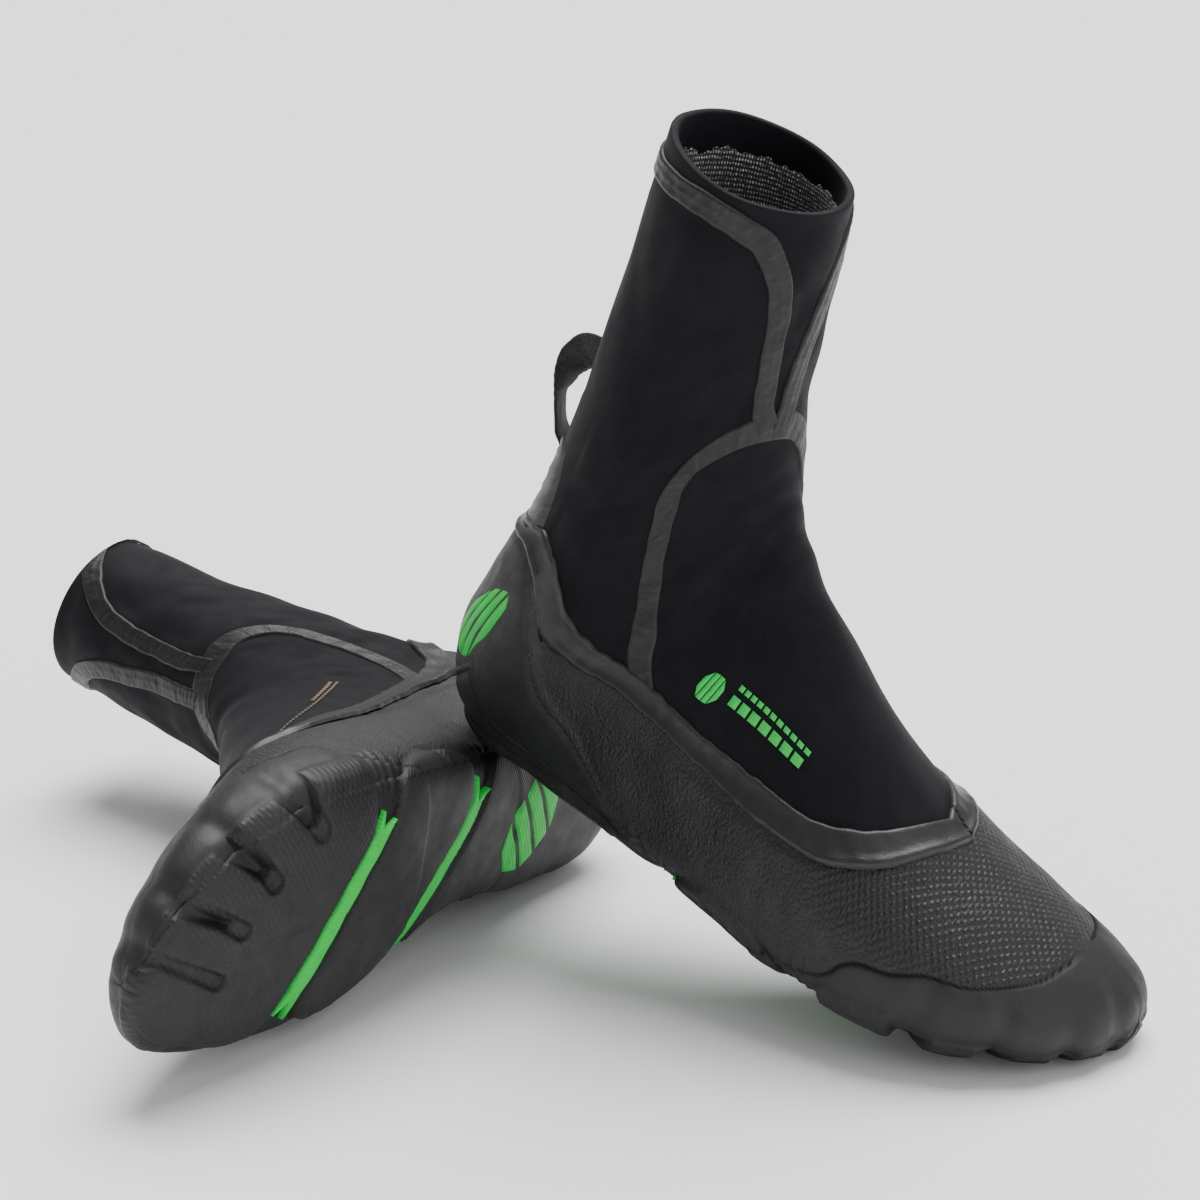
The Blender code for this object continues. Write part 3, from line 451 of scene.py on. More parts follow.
def paint_shell():
    p = Paint("textured rubber", (0.0076, 0.0076, 0.0078), 0.5, Specular_IOR_Level=0.4)
    flat = p.attribute("flat")
    zone = p.attribute("toe_grip", "Fac")
    knurl = p.crossed(flat, 52, 0.128, 0.3)
    lumps = p.times(knurl, zone)
    grain = p.cells(flat, 1.0, "SMOOTH_F1")
    p.raise_by(p.math("SUBTRACT", 1.0, grain), 0.34)
    p.raise_by(p.noise(flat, 1.6, 3.0), 0.34 * 0.45)
    p.raise_by(lumps, 0.42)
    p.tint(p.ramp(p.noise(flat, 0.05, 4.0, 0.6), 0.4, 0.8, 0.0, 0.5), (0.0135, 0.0135, 0.0133))
    # Painted shade in the hollows of the toe grip's knurl.
    p.tint(p.times(p.ramp(knurl, 0.0, 0.35, 0.6, 0.0), zone), (0.004, 0.004, 0.004))
    paint_crease_shade_and_ridge_highlight(p)
    p.roughen(p.noise(flat, 0.12, 3.0), 0.44, 0.58)
    return p


def paint_smooth_rubber(name, colour, low, high):
    p = Paint(name, colour, (low + high) / 2, Specular_IOR_Level=0.4)
    flat = p.attribute("flat")
    p.raise_by(p.noise(flat, 1.7, 4.0, 0.6), 0.09)
    p.raise_by(p.noise(flat, 0.22, 2.0), 0.22)
    lighter = tuple(min(1.0, c * 1.75) for c in colour)
    p.tint(p.ramp(p.noise(flat, 0.06, 4.0), 0.4, 0.75, 0.0, 0.6), lighter)
    paint_crease_shade_and_ridge_highlight(p)
    p.roughen(p.noise(flat, 0.15, 3.0), low, high)
    return p


def paint_sole():
    p = Paint("sole rubber", (0.0104, 0.0099, 0.0104), 0.55, Specular_IOR_Level=0.35)
    plan = p.attribute("plan")
    pad = p.attribute("pad", "Fac")
    toe = p.attribute("toe_pad", "Fac")
    ribs = p.bands(p.turned(plan, 58), 0.3, 0.2)
    diamond = p.crossed(plan, 33, 0.16)
    weave = p.times(ribs, p.bands(p.turned(plan, -32), 0.3, 0.2))
    relief = p.mix(toe, p.mix(0.5, ribs, weave), p.times(diamond, 1.3))
    p.raise_by(p.times(relief, pad), 0.13)
    p.raise_by(p.noise(plan, 1.4, 3.0), 0.07)
    p.tint(p.ramp(p.noise(plan, 0.04, 4.0), 0.4, 0.75, 0.0, 0.55), (0.019, 0.0185, 0.019))
    paint_crease_shade_and_ridge_highlight(p)
    # Painted highlight on the raised tops of the tread relief on the pads.
    p.tint(p.times(p.ramp(relief, 0.5, 1.0, 0.0, 0.2), pad), (0.03, 0.029, 0.03))
    p.roughen(p.noise(plan, 0.12, 3.0), 0.46, 0.62)
    return p


def paint_green():
    p = Paint("green rubber", (0.0, 0.56, 0.055), 0.5, Specular_IOR_Level=0.25)
    flat = p.attribute("flat")
    p.raise_by(p.bands(p.turned(flat, 8), 0.2, 0.4), 0.12)
    p.raise_by(p.noise(flat, 0.8, 3.0), 0.08)
    p.tint(p.ramp(p.noise(flat, 0.16, 4.0, 0.6), 0.42, 0.7, 0.0, 0.5), (0.0, 0.42, 0.045))
    return p


def paint_print(name, colour):
    p = Paint(name, colour, 0.5)
    flat = p.attribute("flat")
    p.raise_by(p.noise(flat, 1.8, 3.0), 0.06)
    p.tint(p.ramp(p.noise(flat, 0.5, 4.0, 0.7), 0.5, 0.72, 0.0, 0.45), tuple(c * 0.45 for c in colour))
    return p


def paint_knit():
    p = Paint("knit lining", (0.02, 0.02, 0.022), 0.95, Sheen_Weight=0.15, Sheen_Roughness=0.6)
    flat = p.attribute("flat")
    rows = p.bands(flat, 0.25, 0.6, direction="Y")
    loops = p.bands(flat, 0.27, 1.2)
    stitch = p.times(rows, loops)
    flecks = p.noise(p.turned(flat, 0, (0.6, 1.6, 1)), 0.75, 4.0, 0.8)
    light = p.math("MULTIPLY", p.ramp(stitch, 0.2, 0.62), p.ramp(flecks, 0.44, 0.6), True)
    p.tint(light, (0.95, 0.93, 0.88))
    p.raise_by(stitch, 0.5)
    p.raise_by(flecks, 0.25)
    return p


def paint_webbing():
    p = Paint("webbing", (0.0125, 0.0125, 0.0135), 0.66, Sheen_Weight=0.2, Sheen_Roughness=0.4)
    flat = p.attribute("flat")
    weave = p.crossed(flat, 45, 0.26)
    p.raise_by(weave, 0.28)
    p.raise_by(p.bands(flat, 0.33, direction="Y"), 0.16)
    p.tint(p.ramp(weave, 0.4, 0.9, 0.0, 0.5), (0.035, 0.035, 0.036))
    return p


PAINTS = {
    "neoprene": paint_neoprene(),
    "seam_tape": paint_tape(),
    "textured_rubber": paint_shell(),
    "smooth_rubber": paint_smooth_rubber("smooth rubber", (0.0078, 0.0078, 0.008), 0.5, 0.6),
    "edge_rubber": paint_smooth_rubber("edge rubber", (0.0098, 0.0098, 0.0098), 0.32, 0.44),
    "sole_rubber": paint_sole(),
    "green_rubber": paint_green(),
    "green_print": paint_print("green print", (0.0, 0.5, 0.055)),
    "gold_print": paint_print("gold print", (0.1, 0.07, 0.03)),
    "knit": paint_knit(),
    "webbing": paint_webbing(),
}


# -------- grids on the boot
class Skin:
    """Rows of points round the boot with even spacing, and their normals."""

    def __init__(self, along, columns, warp=None):
        dense = np.linspace(-180, 180, 1441)
        self.along = np.repeat(along[:, None], columns, axis=1)
        self.degrees = np.zeros((len(along), columns))
        share = np.arange(columns) / columns
        for i, value in enumerate(along):
            ring = surface(np.full(len(dense), max(value, 0.6)), dense)
            run = running(ring)
            self.degrees[i] = np.interp(share * run[-1], run, dense)
        if warp:
            self.along = warp(self.along, self.degrees)
        self.place = np.column_stack((self.along.ravel(), self.degrees.ravel() * FLAT))
        self.points = surface(self.along.ravel(), self.degrees.ravel()).reshape(len(along), columns, 3)
        ring = np.roll(self.points, -1, axis=1) - np.roll(self.points, 1, axis=1)
        run = np.gradient(self.points, axis=0)
        cross = np.cross(ring, run)
        self.normals = cross / np.maximum(np.linalg.norm(cross, axis=2, keepdims=True), 1e-9)
        self.normals[along < 0.5] = (1.0, 0.0, 0.0)
        middle = np.zeros(self.degrees.shape)
        for i, ring in enumerate(self.points):
            run = running(ring)
            middle[i] = run - np.interp(0.0, self.degrees[i], run)
        self.flat = np.stack((middle, self.along, np.zeros_like(middle)), axis=2)


def ring_faces(rows, columns, closed=True):
    """Quads of a grid of points, as an array of corner numbers."""
    i, j = np.meshgrid(np.arange(rows - 1), np.arange(columns if closed else columns - 1), indexing="ij")
    k = (j + 1) % columns
    quads = np.stack((i * columns + j, i * columns + k, (i + 1) * columns + k, (i + 1) * columns + j), axis=2)
    return quads.reshape(-1, 4)


def unrolled(run, across):
    """Flat coordinates of a grid: the run of each row, and the distances across it."""
    return np.stack((np.broadcast_to(run[:, None], across.shape), across, 0 * across), axis=2).reshape(-1, 3)


def outward_faces(points, faces, outward):
    """The same faces, all turned so that they look along the given directions."""
    a, b, c = (points[faces[:, k]] for k in (0, 1, 2))
    facing = (np.cross(b - a, c - a) * outward[faces[:, 0]]).sum()
    return faces if facing > 0 else faces[:, ::-1]


def pads(points):
    """How far each point is outside the tread pads, outside the toe pads and outside the notches."""
    plan, z = points[:, :2], points[:, 2]
    fore = signed_distance(plan, rounded(FORE_PAD))
    toes = np.full(len(plan), 1e9)
    for a, b, radius, limit in TOE_PADS:
        shape = np.maximum(capsule(plan, a, b, radius), (z - limit + 0.12 * (b[0] - plan[:, 0])) * 0.9)
        toes = soft_min(toes, shape, 1.2)
    fore = soft_min(np.maximum(fore, z - 10), toes, 2.5)
    cut = np.full(len(plan), 1e9)
    for a, b, radius in NOTCHES:
        way = np.array(a, float) - b
        t = np.clip((plan - b) @ way / np.linalg.norm(way) ** 2, 0, 1)
        cut = np.minimum(cut, capsule(plan, a, b, 0) - radius * (1.15 - 0.45 * t))
    others = np.minimum(signed_distance(plan, rounded(HEEL_PAD)), signed_distance(plan, rounded(MID_PAD)))
    total = np.minimum(fore, np.maximum(others, z - 12))
    for strip in (FRONT_STRIP, REAR_STRIP):
        total = np.maximum(total, 4.5 - line_distance(plan, smooth_line(strip, 4.0)))
    return total, toes, cut


def fan(points):
    """Moulded ridges that fan out from the outer ends of the flex strips."""
    plan = points[:, :2]
    total = np.zeros(len(plan))
    for strip in (FRONT_STRIP, REAR_STRIP):
        end = np.array(strip[0], float)
        way = unit(end - strip[1])
        u, v = (plan - end) @ way, (plan - end) @ np.array((-way[1], way[0]))
        spread = v / (1 + np.clip(u, 0, 30) * 0.06)
        zone = step(u + 1, 3) * step(17 - u, 8) * step(6.5 - np.abs(spread), 3) * step(15 - points[:, 2], 6)
        total += zone * (0.35 + 0.4 * np.cos(spread * 2 * math.pi / 2.6 + 0.4 * np.sin(u / 3)))
    return total


def grip(along, turn):
    """Where the moulded toe grip is: over the toes, fading back along the instep."""
    return step(along - 33, 10) * step(118 - along, 40) * step(72 - turn, 34)


def segments(width, height):
    """Plain mark: a rounded shape cut in slanted bars, as quads."""
    bars = []
    edges = np.linspace(-1, 1, 5)
    for a, b in zip(edges[:-1] + 0.035, edges[1:] - 0.035):
        low, high = (0.99 * math.sqrt(max(0.0, 1 - abs(v) ** 3.2)) + 0.06 for v in (a, b))
        bars.append(((a, -low), (b, -high), (b, high), (a, low)))
    return [[(x * width + 0.22 * y * height, y * height) for x, y in bar] for bar in bars]


def dashes(count, start, pitch, width, low, high, lean=0.0):
    """A row of dashes, as quads."""
    quads = []
    for x in start + np.arange(count) * pitch:
        quads.append([(x, low), (x + width, low), (x + width + lean, high), (x + lean, high)])
    return quads


def tile(quads, across, along):
    """Small grids over quads: flat points, faces, and a height that is 1 inside and 0 at the edges."""
    u, v = np.meshgrid(np.linspace(0, 1, along), np.linspace(0, 1, across), indexing="ij")
    edge = np.minimum(np.minimum(u, 1 - u) * along, np.minimum(v, 1 - v) * across) > 0.5
    u, v = u[..., None], v[..., None]
    points, faces = [], []
    for k, quad in enumerate(np.array(quads, float)):
        a, b, c, d = quad
        grid = (1 - u) * ((1 - v) * a + v * b) + u * ((1 - v) * d + v * c)
        points.append(grid.reshape(-1, 2))
        faces.append(ring_faces(along, across, closed=False) + k * along * across)
    points = np.concatenate(points)
    edges = np.tile(edge.ravel(), len(quads)).astype(float)
    return np.column_stack((points, 0 * points[:, 0])), np.concatenate(faces), edges


class Boot:
    """Where one boot stands in the row frame, and how its pieces are made there."""

    def __init__(self, side):
        self.side = side
        self.flip = -1.0 if side == "left" else 1.0
        ankle = JOINTS[f"{side}_ankle_bend"]
        self.y = unit(np.array(ankle["axis"], float))
        up_back = unit(np.array(JOINTS[f"{side}_pull_loop_swing"]["axis"], float))
        self.z = up_back * math.cos(LOOP_LEAN) - np.cross(self.y, up_back) * math.sin(LOOP_LEAN)
        self.x = np.cross(self.y, self.z)
        self.origin = np.array(ankle["pos_m"], float) - (self.x * ANKLE[0] + self.z * ANKLE[1]) * MM
        self.arch, self.outer, self.inner = ARCH_LINES[side], COLLAR_OUTER[side], COLLAR_INNER[side]

    def world(self, points):
        """Boot millimetres to the row frame's metres."""
        points = np.asarray(points, float) * (1.0, self.flip, 1.0)
        return self.origin + (points @ np.array((self.x, self.y, self.z))) * MM

    def make(self, body, name, points, faces, paint, attributes, replaces=None):
        """A mesh piece in the row frame, on one of the boot's bodies, or for a soft piece left in the row frame
        on no body.
        """
        points = points.reshape(-1, 3)
        used = np.unique(faces)
        number = np.full(len(points), -1)
        number[used] = np.arange(len(used))
        faces = number[faces]
        if self.flip < 0:
            faces = faces[:, ::-1]
        mesh = bpy.data.meshes.new(f"{self.side}_{name}")
        mesh.from_pydata(self.world(points[used]).tolist(), [], faces.tolist())
        mesh.validate()
        mesh.shade_smooth()
        for key, values in attributes.items():
            values = np.asarray(values, np.float32)[used]
            kind, field = ("FLOAT", "value") if values.ndim == 1 else ("FLOAT_VECTOR", "vector")
            mesh.attributes.new(key, kind, "POINT").data.foreach_set(field, values.ravel())
        thing = bpy.data.objects.new(f"{self.side}_{name}_look", mesh)
        bpy.context.scene.collection.objects.link(thing)
        mesh.materials.append(PAINTS[paint].material)
        nodes = (name,) if replaces is None else replaces
        if nodes:
            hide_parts(*[f"{self.side}_{node}" for node in nodes])
        if body in BENDS:
            near, far, ends = BENDS[body]
            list(self.world(ends))
            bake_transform(thing)
        else:
            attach(thing, f"{self.side}_{body}")


# -------- neoprene and lining
def neoprene(boot):
    """The black upper in its sewn panels, with the folded rim and the smooth band inside it."""
    body = np.arange(20.0, TOP, 2.5)
    skin = Skin(np.concatenate((body, [TOP])), 128, lowered)
    count = skin.along.shape[1]
    flat = skin.flat.reshape(-1, 3)
    place = skin.place
    along, across = place.T
    soft = ripple(flat, 46, 3) * 0.4 + ripple(flat * (1, 0.5, 1), 17, 4) * 0.13
    fold = bump(along - 268, 15) * bump(across + 4, 17) * np.sin((along - 262) / 4.8)
    fold += bump(along - 300, 12) * bump(across + 26, 9) * np.sin((along - 290) / 4.1)
    soft += 0.3 * fold
    lines = [place_line(line) for line in (boot.arch, boot.outer, boot.inner)]
    away = np.min([line_distance(place, line) for line in lines], axis=0)
    mark = place_line(((192, -60), (136, -44)) if boot.side == "right" else ((225, -63), (116, -52)))
    away = np.minimum(away, line_distance(place, mark) - 5)
    soft *= step(away - 6.5, 5)
    under_tab = (along < 368) & (np.abs(across) > 115 * FLAT)
    height = np.where(under_tab, soft * 0.2, soft).reshape(skin.along.shape)
    height *= step(rim(skin.degrees) - 7 - skin.along, 10)
    points = skin.points + skin.normals * height[:, :, None]
    top, top_out, top_flat = skin.points[-1], skin.normals[-1], skin.flat[-1]
    tip = unit(top - skin.points[-2])
    rows, flats = [*points], [*skin.flat]
    lip = ((0.3, -0.05), (0.7, -0.25), (0.95, -0.7), (1.02, -1.4), (0.98, -2.1), (0.75, -2.65), (0.35, -2.95))
    wave = 0.2 * ripple(top_flat, 34, 8)[:, None]
    for out, depth in lip:
        rows.append(top + tip * (out + wave * out) + top_out * depth)
        flats.append(top_flat + (0, out - depth, 0))
    for k in range(len(body), 0, -1):
        if body[min(k, len(body) - 1)] > 402:
            rows.append(skin.points[k] - skin.normals[k] * 3.0)
            flats.append(top_flat + (0, 6 + TOP - skin.along[k, 0], 0))
    faces = ring_faces(len(rows), count)
    first = faces[:, 0]
    centre = place[first % len(place)]
    in_rim = first // count >= len(skin.along) - 1
    vamp = np.concatenate((place_line(boot.arch, 3), flatten(
        ((186, 84), (150, 181), (-5, 181), (-5, -181), (150, -181), (186, -84)))))
    collar = np.concatenate((place_line(boot.outer, 3)[::-1], place_line(boot.inner, 3),
                             flatten(((500, 182), (500, -183)))))
    is_collar = in_rim | within(centre, collar)
    is_vamp = within(centre, vamp) & ~is_collar
    is_outer = (across[np.minimum(first, len(place) - 1)] < 0) & ~is_collar & ~is_vamp
    is_inner = ~is_outer & ~is_collar & ~is_vamp
    grid, data = np.array(rows), {"flat": np.array(flats).reshape(-1, 3)}
    for where, name, chosen, nodes in (("ankle", "vamp", is_vamp, ("vamp_panel", "sole_panel")),
                                       ("ankle", "outer_quarter", is_outer, None),
                                       ("ankle", "inner_quarter", is_inner, None),
                                       ("shaft", "collar", is_collar, ("collar_and_gusset",))):
        boot.make(where, name, grid, faces[chosen], "neoprene", data, nodes)


def lining(boot):
    """Knit lining inside, its cut top edge a little ragged."""
    rows = np.concatenate((np.arange(10.0, 430.0, 4.0), np.arange(430.0, TOP, 2.0), [TOP]))
    skin = Skin(rows, 160, lambda along, degrees: lowered(along, degrees) - LINING_EDGE * step(along - 400, 70))
    across = skin.flat[-1][:, 0]
    ragged = 0.5 * wobble(across, 18, 21) + 0.4 * wobble(across, 3.6, 22)
    along = skin.along + step(np.linspace(0, TOP, len(rows)) - 410, 50)[:, None] * ragged
    points = surface(along.ravel(), skin.degrees.ravel()).reshape(skin.points.shape)
    grid = np.concatenate((points - skin.normals * 4.0, points[-1:] - skin.normals[-1:] * 3.1))
    level = along + (TOP - rim(skin.degrees)) * step(along - 380, 60)
    flat = np.stack((skin.flat[..., 0], level, 0 * along), axis=2)
    flat = np.concatenate((flat, flat[-1:] + (0, 0.9, 0))).reshape(-1, 3)
    boot.make("ankle", "lining", grid, ring_faces(len(grid), 160)[:, ::-1], "knit", {"flat": flat},
              ("outer_lining", "inner_lining", "insole_lining", "shaft_lining"))


# -------- rubber
def rubber(boot):
    """The moulded foot: textured shell, smooth toe rand and heel counter, outsole and its pads."""
    tip = (0.0, 0.25, 0.6, 1.1, 1.8, 2.6, 3.5)
    skin = Skin(np.concatenate((tip, np.arange(4.4, 328.0, 1.0))), 264)
    points = skin.points.reshape(-1, 3)
    plan, level = points[:, :2], points[:, 2]
    along = skin.along.ravel()
    turn = np.abs(skin.degrees.ravel())
    flat = skin.flat.reshape(-1, 3)
    folded = flatten(np.column_stack((along, -turn)))
    rand_area = np.concatenate((place_line(RAND_LINE, 2.5), flatten(((128, -200), (-20, -200))),
                                [(-20, 60), (29, 60)]))
    rand = -signed_distance(folded, rand_area)
    counter_area = np.concatenate((place_line(COUNTER_LINE, 2.5), flatten(
        ((188, -300), (340, -300), (340, -121)))))
    counter = -signed_distance(folded, counter_area)
    sole = np.minimum((turn - SOLE_EDGE) * FLAT, 262 - along)
    above = sole < 0
    pad, toes, cut = pads(points)
    under = np.where(level < 26, 1.0, 0.0)
    pad_mask = step(-pad, 1.5) * under
    front = step(turn - 10, 16)
    height = 1.5 + 0.5 * step(rand, 1.4) * front + 0.25 * step(rand - 1, 14) * (1 - front)
    height -= 0.4 * bump(rand, 0.8) * front * above
    height += 0.55 * step(counter, 1.6) - 0.35 * bump(counter, 0.8) * above
    height += 0.6 * step(sole, 1.8) - 0.3 * bump(sole + 0.6, 0.8)
    height -= 0.7 * bump(sole - 2.2, 1.2) * step(along - 120, 30)
    valley = np.zeros(len(points))
    for a, b, _ in NOTCHES:
        apart = line_distance(plan, np.array((a, b), float))
        valley = np.maximum(valley, bump(apart, 4.6) * step(27 - level, 26))
    height -= 2.0 * valley * (1 - pad_mask) * (along < 100)
    height += 0.9 * np.clip(np.sin((turn - 60) / 60 * math.pi), 0, 1) * bump(along - 30, 26)
    dome = np.clip(-pad / 7, 0, 1)
    slim = 1 - 0.65 * step(level - 8.5, 8) * (along < 150)
    height += pad_mask * (2.3 + 0.7 * dome * (2 - dome)) * slim
    groove = bump(pad - 0.9, 0.9) * under * (1 - 0.75 * step(level - 8.5, 6))
    height -= 0.3 * groove + 1.9 * step(-cut, 2.4) * pad_mask
    # Painted shade: the colour is darkened along the pad outlines, notch rims, toe rand line and sole edge, on
    # top of the real grooves.
    painted_crease_shade = np.max((0.6 * groove, 0.5 * bump(cut - 0.2, 0.9) * pad_mask * (1 - step(level - 8, 6)),
                     0.7 * bump(rand, 0.95) * front * above,
                     0.6 * bump(sole - 1.4, 0.9) * step(along - 110, 20)), axis=0)
    # The ridge round the heel counter is raised in the shape and also painted lighter, a painted highlight.
    ridge_and_painted_highlight = bump(counter + 1.6, 1.0) * step(along - 190, 30) * above
    height += 0.55 * ridge_and_painted_highlight + fan(points) * (1 - pad_mask)
    height += 0.16 * ripple(flat, 30, 12) + 0.05 * ripple(flat, 8, 13)
    edge = mirrored(smooth_line((np.array(RUBBER_TOP, float) + RUBBER_LOWER) / 2, 4)) * (1, FLAT)
    height -= 0.9 * step(5 - line_distance(skin.place, edge), 3)
    grid = points + skin.normals.reshape(-1, 3) * height[:, None]
    faces = ring_faces(*skin.along.shape)
    opening = np.concatenate((edge, flatten(((330, 181), (600, 181), (600, -181), (330, -181)))))
    covered = ~within(skin.place, opening)
    first = faces[:, 0]
    keep = covered[faces].any(axis=1)
    on_pad = pad_mask[faces].mean(axis=1) > 0.5
    in_sole = (sole[first] > 0.3) & keep
    data = {"flat": flat, "plan": points * (1, 1, 0), "pad": pad_mask, "toe_pad": step(-toes, 2.0) * under,
            "toe_grip": grip(along, turn), "painted_crease_shade": painted_crease_shade, "ridge_and_painted_highlight": ridge_and_painted_highlight}
    slanted = points[first][:, 0] - 0.55 * points[first][:, 1]
    tread, rest = on_pad & keep, keep & ~on_pad
    side = rest & ~in_sole
    is_rand = side & (rand[first] > 0)
    is_counter = side & (counter[first] > 0) & ~is_rand
    for name, paint, chosen in (
            ("forefoot_tread", "sole_rubber", tread & (slanted > FOREFOOT)),
            ("midfoot_tread", "sole_rubber", tread & (slanted <= FOREFOOT) & (slanted > MIDFOOT)),
            ("heel_tread", "sole_rubber", tread & (slanted <= MIDFOOT)),
            ("outsole", "sole_rubber", rest & in_sole),
            ("toe_rand", "smooth_rubber", is_rand),
            ("heel_counter", "smooth_rubber", is_counter),
            ("foot_shell", "textured_rubber", side & ~is_rand & ~is_counter)):
        boot.make("foot", name, grid, faces[chosen], paint, data)
    bottom = faces[keep & (sole[first] > -8)]
    boot.tree = BVHTree.FromPolygons(grid.tolist(), bottom.tolist())


# -------- bands and tapes
def strip(boot, body, name, upper, lower, profile, paint, wrinkle, wave, seed, closed=False, lift=0.0,
          edge_noise=0.0):
    """A band between two matching lines of places; the profile is (share across, height) pairs."""
    shares, heights = np.array(profile, float).T
    if closed:
        upper, lower = upper[:-1], lower[:-1]
    rows, count = len(upper), len(shares)
    if edge_noise:
        run = np.arange(rows) * 1.2
        across = lower - upper
        across /= np.maximum(np.linalg.norm(across * (1, FLAT), axis=1), 1e-6)[:, None]
        upper = upper - across * (wobble(run, 9, seed + 50) * edge_noise)[:, None]
        lower = lower + across * (wobble(run, 8, seed + 51) * edge_noise)[:, None]
    place = upper[:, None, :] * (1 - shares)[None, :, None] + lower[:, None, :] * shares[None, :, None]
    along, degrees = place[..., 0].ravel(), place[..., 1].ravel()
    points = surface(along, degrees)
    outward = normals(along, degrees)
    grid = points.reshape(rows, count, 3)
    width = np.linalg.norm(grid[:, -1] - grid[:, 0], axis=1)
    flat = unrolled(running(grid[:, count // 2]), shares[None, :] * width[:, None])
    from_edge = np.tile(np.minimum(shares, 1 - shares), rows)
    folds = ripple(flat * (1, 0.35, 1), wave, seed) * wrinkle
    folds += ripple(flat * (1, 0.6, 1), wave * 3.2, seed + 9) * wrinkle
    height = np.tile(heights, rows) + lift + folds * np.clip(from_edge * 6, 0, 1)
    if not closed:
        fade = np.clip(np.minimum(np.arange(rows), np.arange(rows)[::-1]) / 2.0, 0, 1)
        height *= np.repeat(fade, count) * 0.85 + 0.15
    points = points + outward * height[:, None]
    i, j = np.meshgrid(np.arange(rows if closed else rows - 1), np.arange(count - 1), indexing="ij")
    k = (i + 1) % rows
    quads = np.stack((k * count + j, k * count + j + 1, i * count + j + 1, i * count + j), axis=2)
    margin = np.clip(1 - from_edge / 0.16, 0, 1)
    # The ridge entry paints a highlight on the band's edges; the crease entry holds painted shade, none by
    # default.
    data = {"flat": flat, "margin": margin, "painted_crease_shade": np.zeros(len(flat)), "ridge_and_painted_highlight": margin * 0.6}
    if name == "edge_tape":
        # Painted shade: a dark line across the front of the edge band.
        front = np.abs(along - 88) < 22
        data["painted_crease_shade"] = 0.9 * front * bump((degrees - 4) * FLAT * 0.9 + (np.tile(shares, rows) - 0.5) * 5, 0.8)
    boot.make(body, name, points, outward_faces(points, quads.reshape(-1, 4), outward), paint, data)


def tape(boot, body, name, line, half, seed, lift, thick=0.8):
    """A seam tape centred on a line of places."""
    line = place_line(line, 1.2)
    along, degrees = line[:, 0], line[:, 1] / FLAT
    scale = np.column_stack((
        np.linalg.norm(surface(along + 0.5, degrees) - surface(along - 0.5, degrees), axis=1),
        np.linalg.norm(surface(along, degrees + 0.5) - surface(along, degrees - 0.5), axis=1)))
    middle = np.column_stack((along, degrees))
    across = crosswise(middle, scale)
    run = np.arange(len(line)) * 1.2
    upper = middle + across * (half + 0.16 * wobble(run, 16, seed + 30))[:, None]
    lower = middle - across * (half + 0.16 * wobble(run, 13, seed + 31))[:, None]
    for edge in (upper, lower):
        edge[:, 0] = np.minimum(edge[:, 0], rim(edge[:, 1]) - 0.8)
    profile = [(share, height * thick if height > 0 else height) for share, height in TAPE]
    strip(boot, body, name, upper, lower, profile, "seam_tape", 0.07, 2.6, seed, lift=lift)


def tapes(boot):
    tape(boot, "ankle", "arch_tape", boot.arch, 4.9, 5, 0.1, 0.7)
    tape(boot, "shaft", "outer_collar_tape", boot.outer, 4.1, 6, 0.35)
    tape(boot, "shaft", "inner_collar_tape", boot.inner, 4.1, 7, 0.35)
    rise = np.linspace(0, 1, 44) ** 1.3
    spread = np.interp(rise, (0, 0.03, 0.08, 0.16, 0.4, 1.0), (16, 30, 39, 46, 52, 59))
    along, bow = 354 - rise * 43, 2.5 * rise
    profile = [(s, 0.95 * min(1.0, min(s, 1 - s) * 20) - 0.1) for s in np.linspace(0, 1, 25)]
    upper, lower = (np.column_stack((along + bow, -180 + way * spread)) for way in (-1, 1))
    strip(boot, "ankle", "heel_tab", upper, lower, profile, "seam_tape", 0.1, 4.0, 8)


def edge_band(boot):
    """Smooth band that finishes the top of the rubber, with a bead along its lower edge."""
    both = smooth_line(np.column_stack((flatten(RUBBER_TOP), flatten(RUBBER_LOWER))), 1.7) / (1, FLAT, 1, FLAT)
    up, low = mirrored(both[:, :2]), mirrored(both[:, 2:])
    low = low + (low - up) * 0.1
    strip(boot, "foot", "edge_tape", up, low, EDGE_BAND, "edge_rubber", 0.1, 9.0, 15, True, edge_noise=0.12)


# -------- green pieces and prints
def underside(boot, plan):
    """Points on the underside below plan points."""
    found = []
    for x, y in plan:
        hit = boot.tree.ray_cast(Vector((x, y, -60.0)), Vector((0, 0, 1)))[0]
        found.append(hit or boot.tree.find_nearest(Vector((x, y, 4.0)))[0])
    return np.array(found)


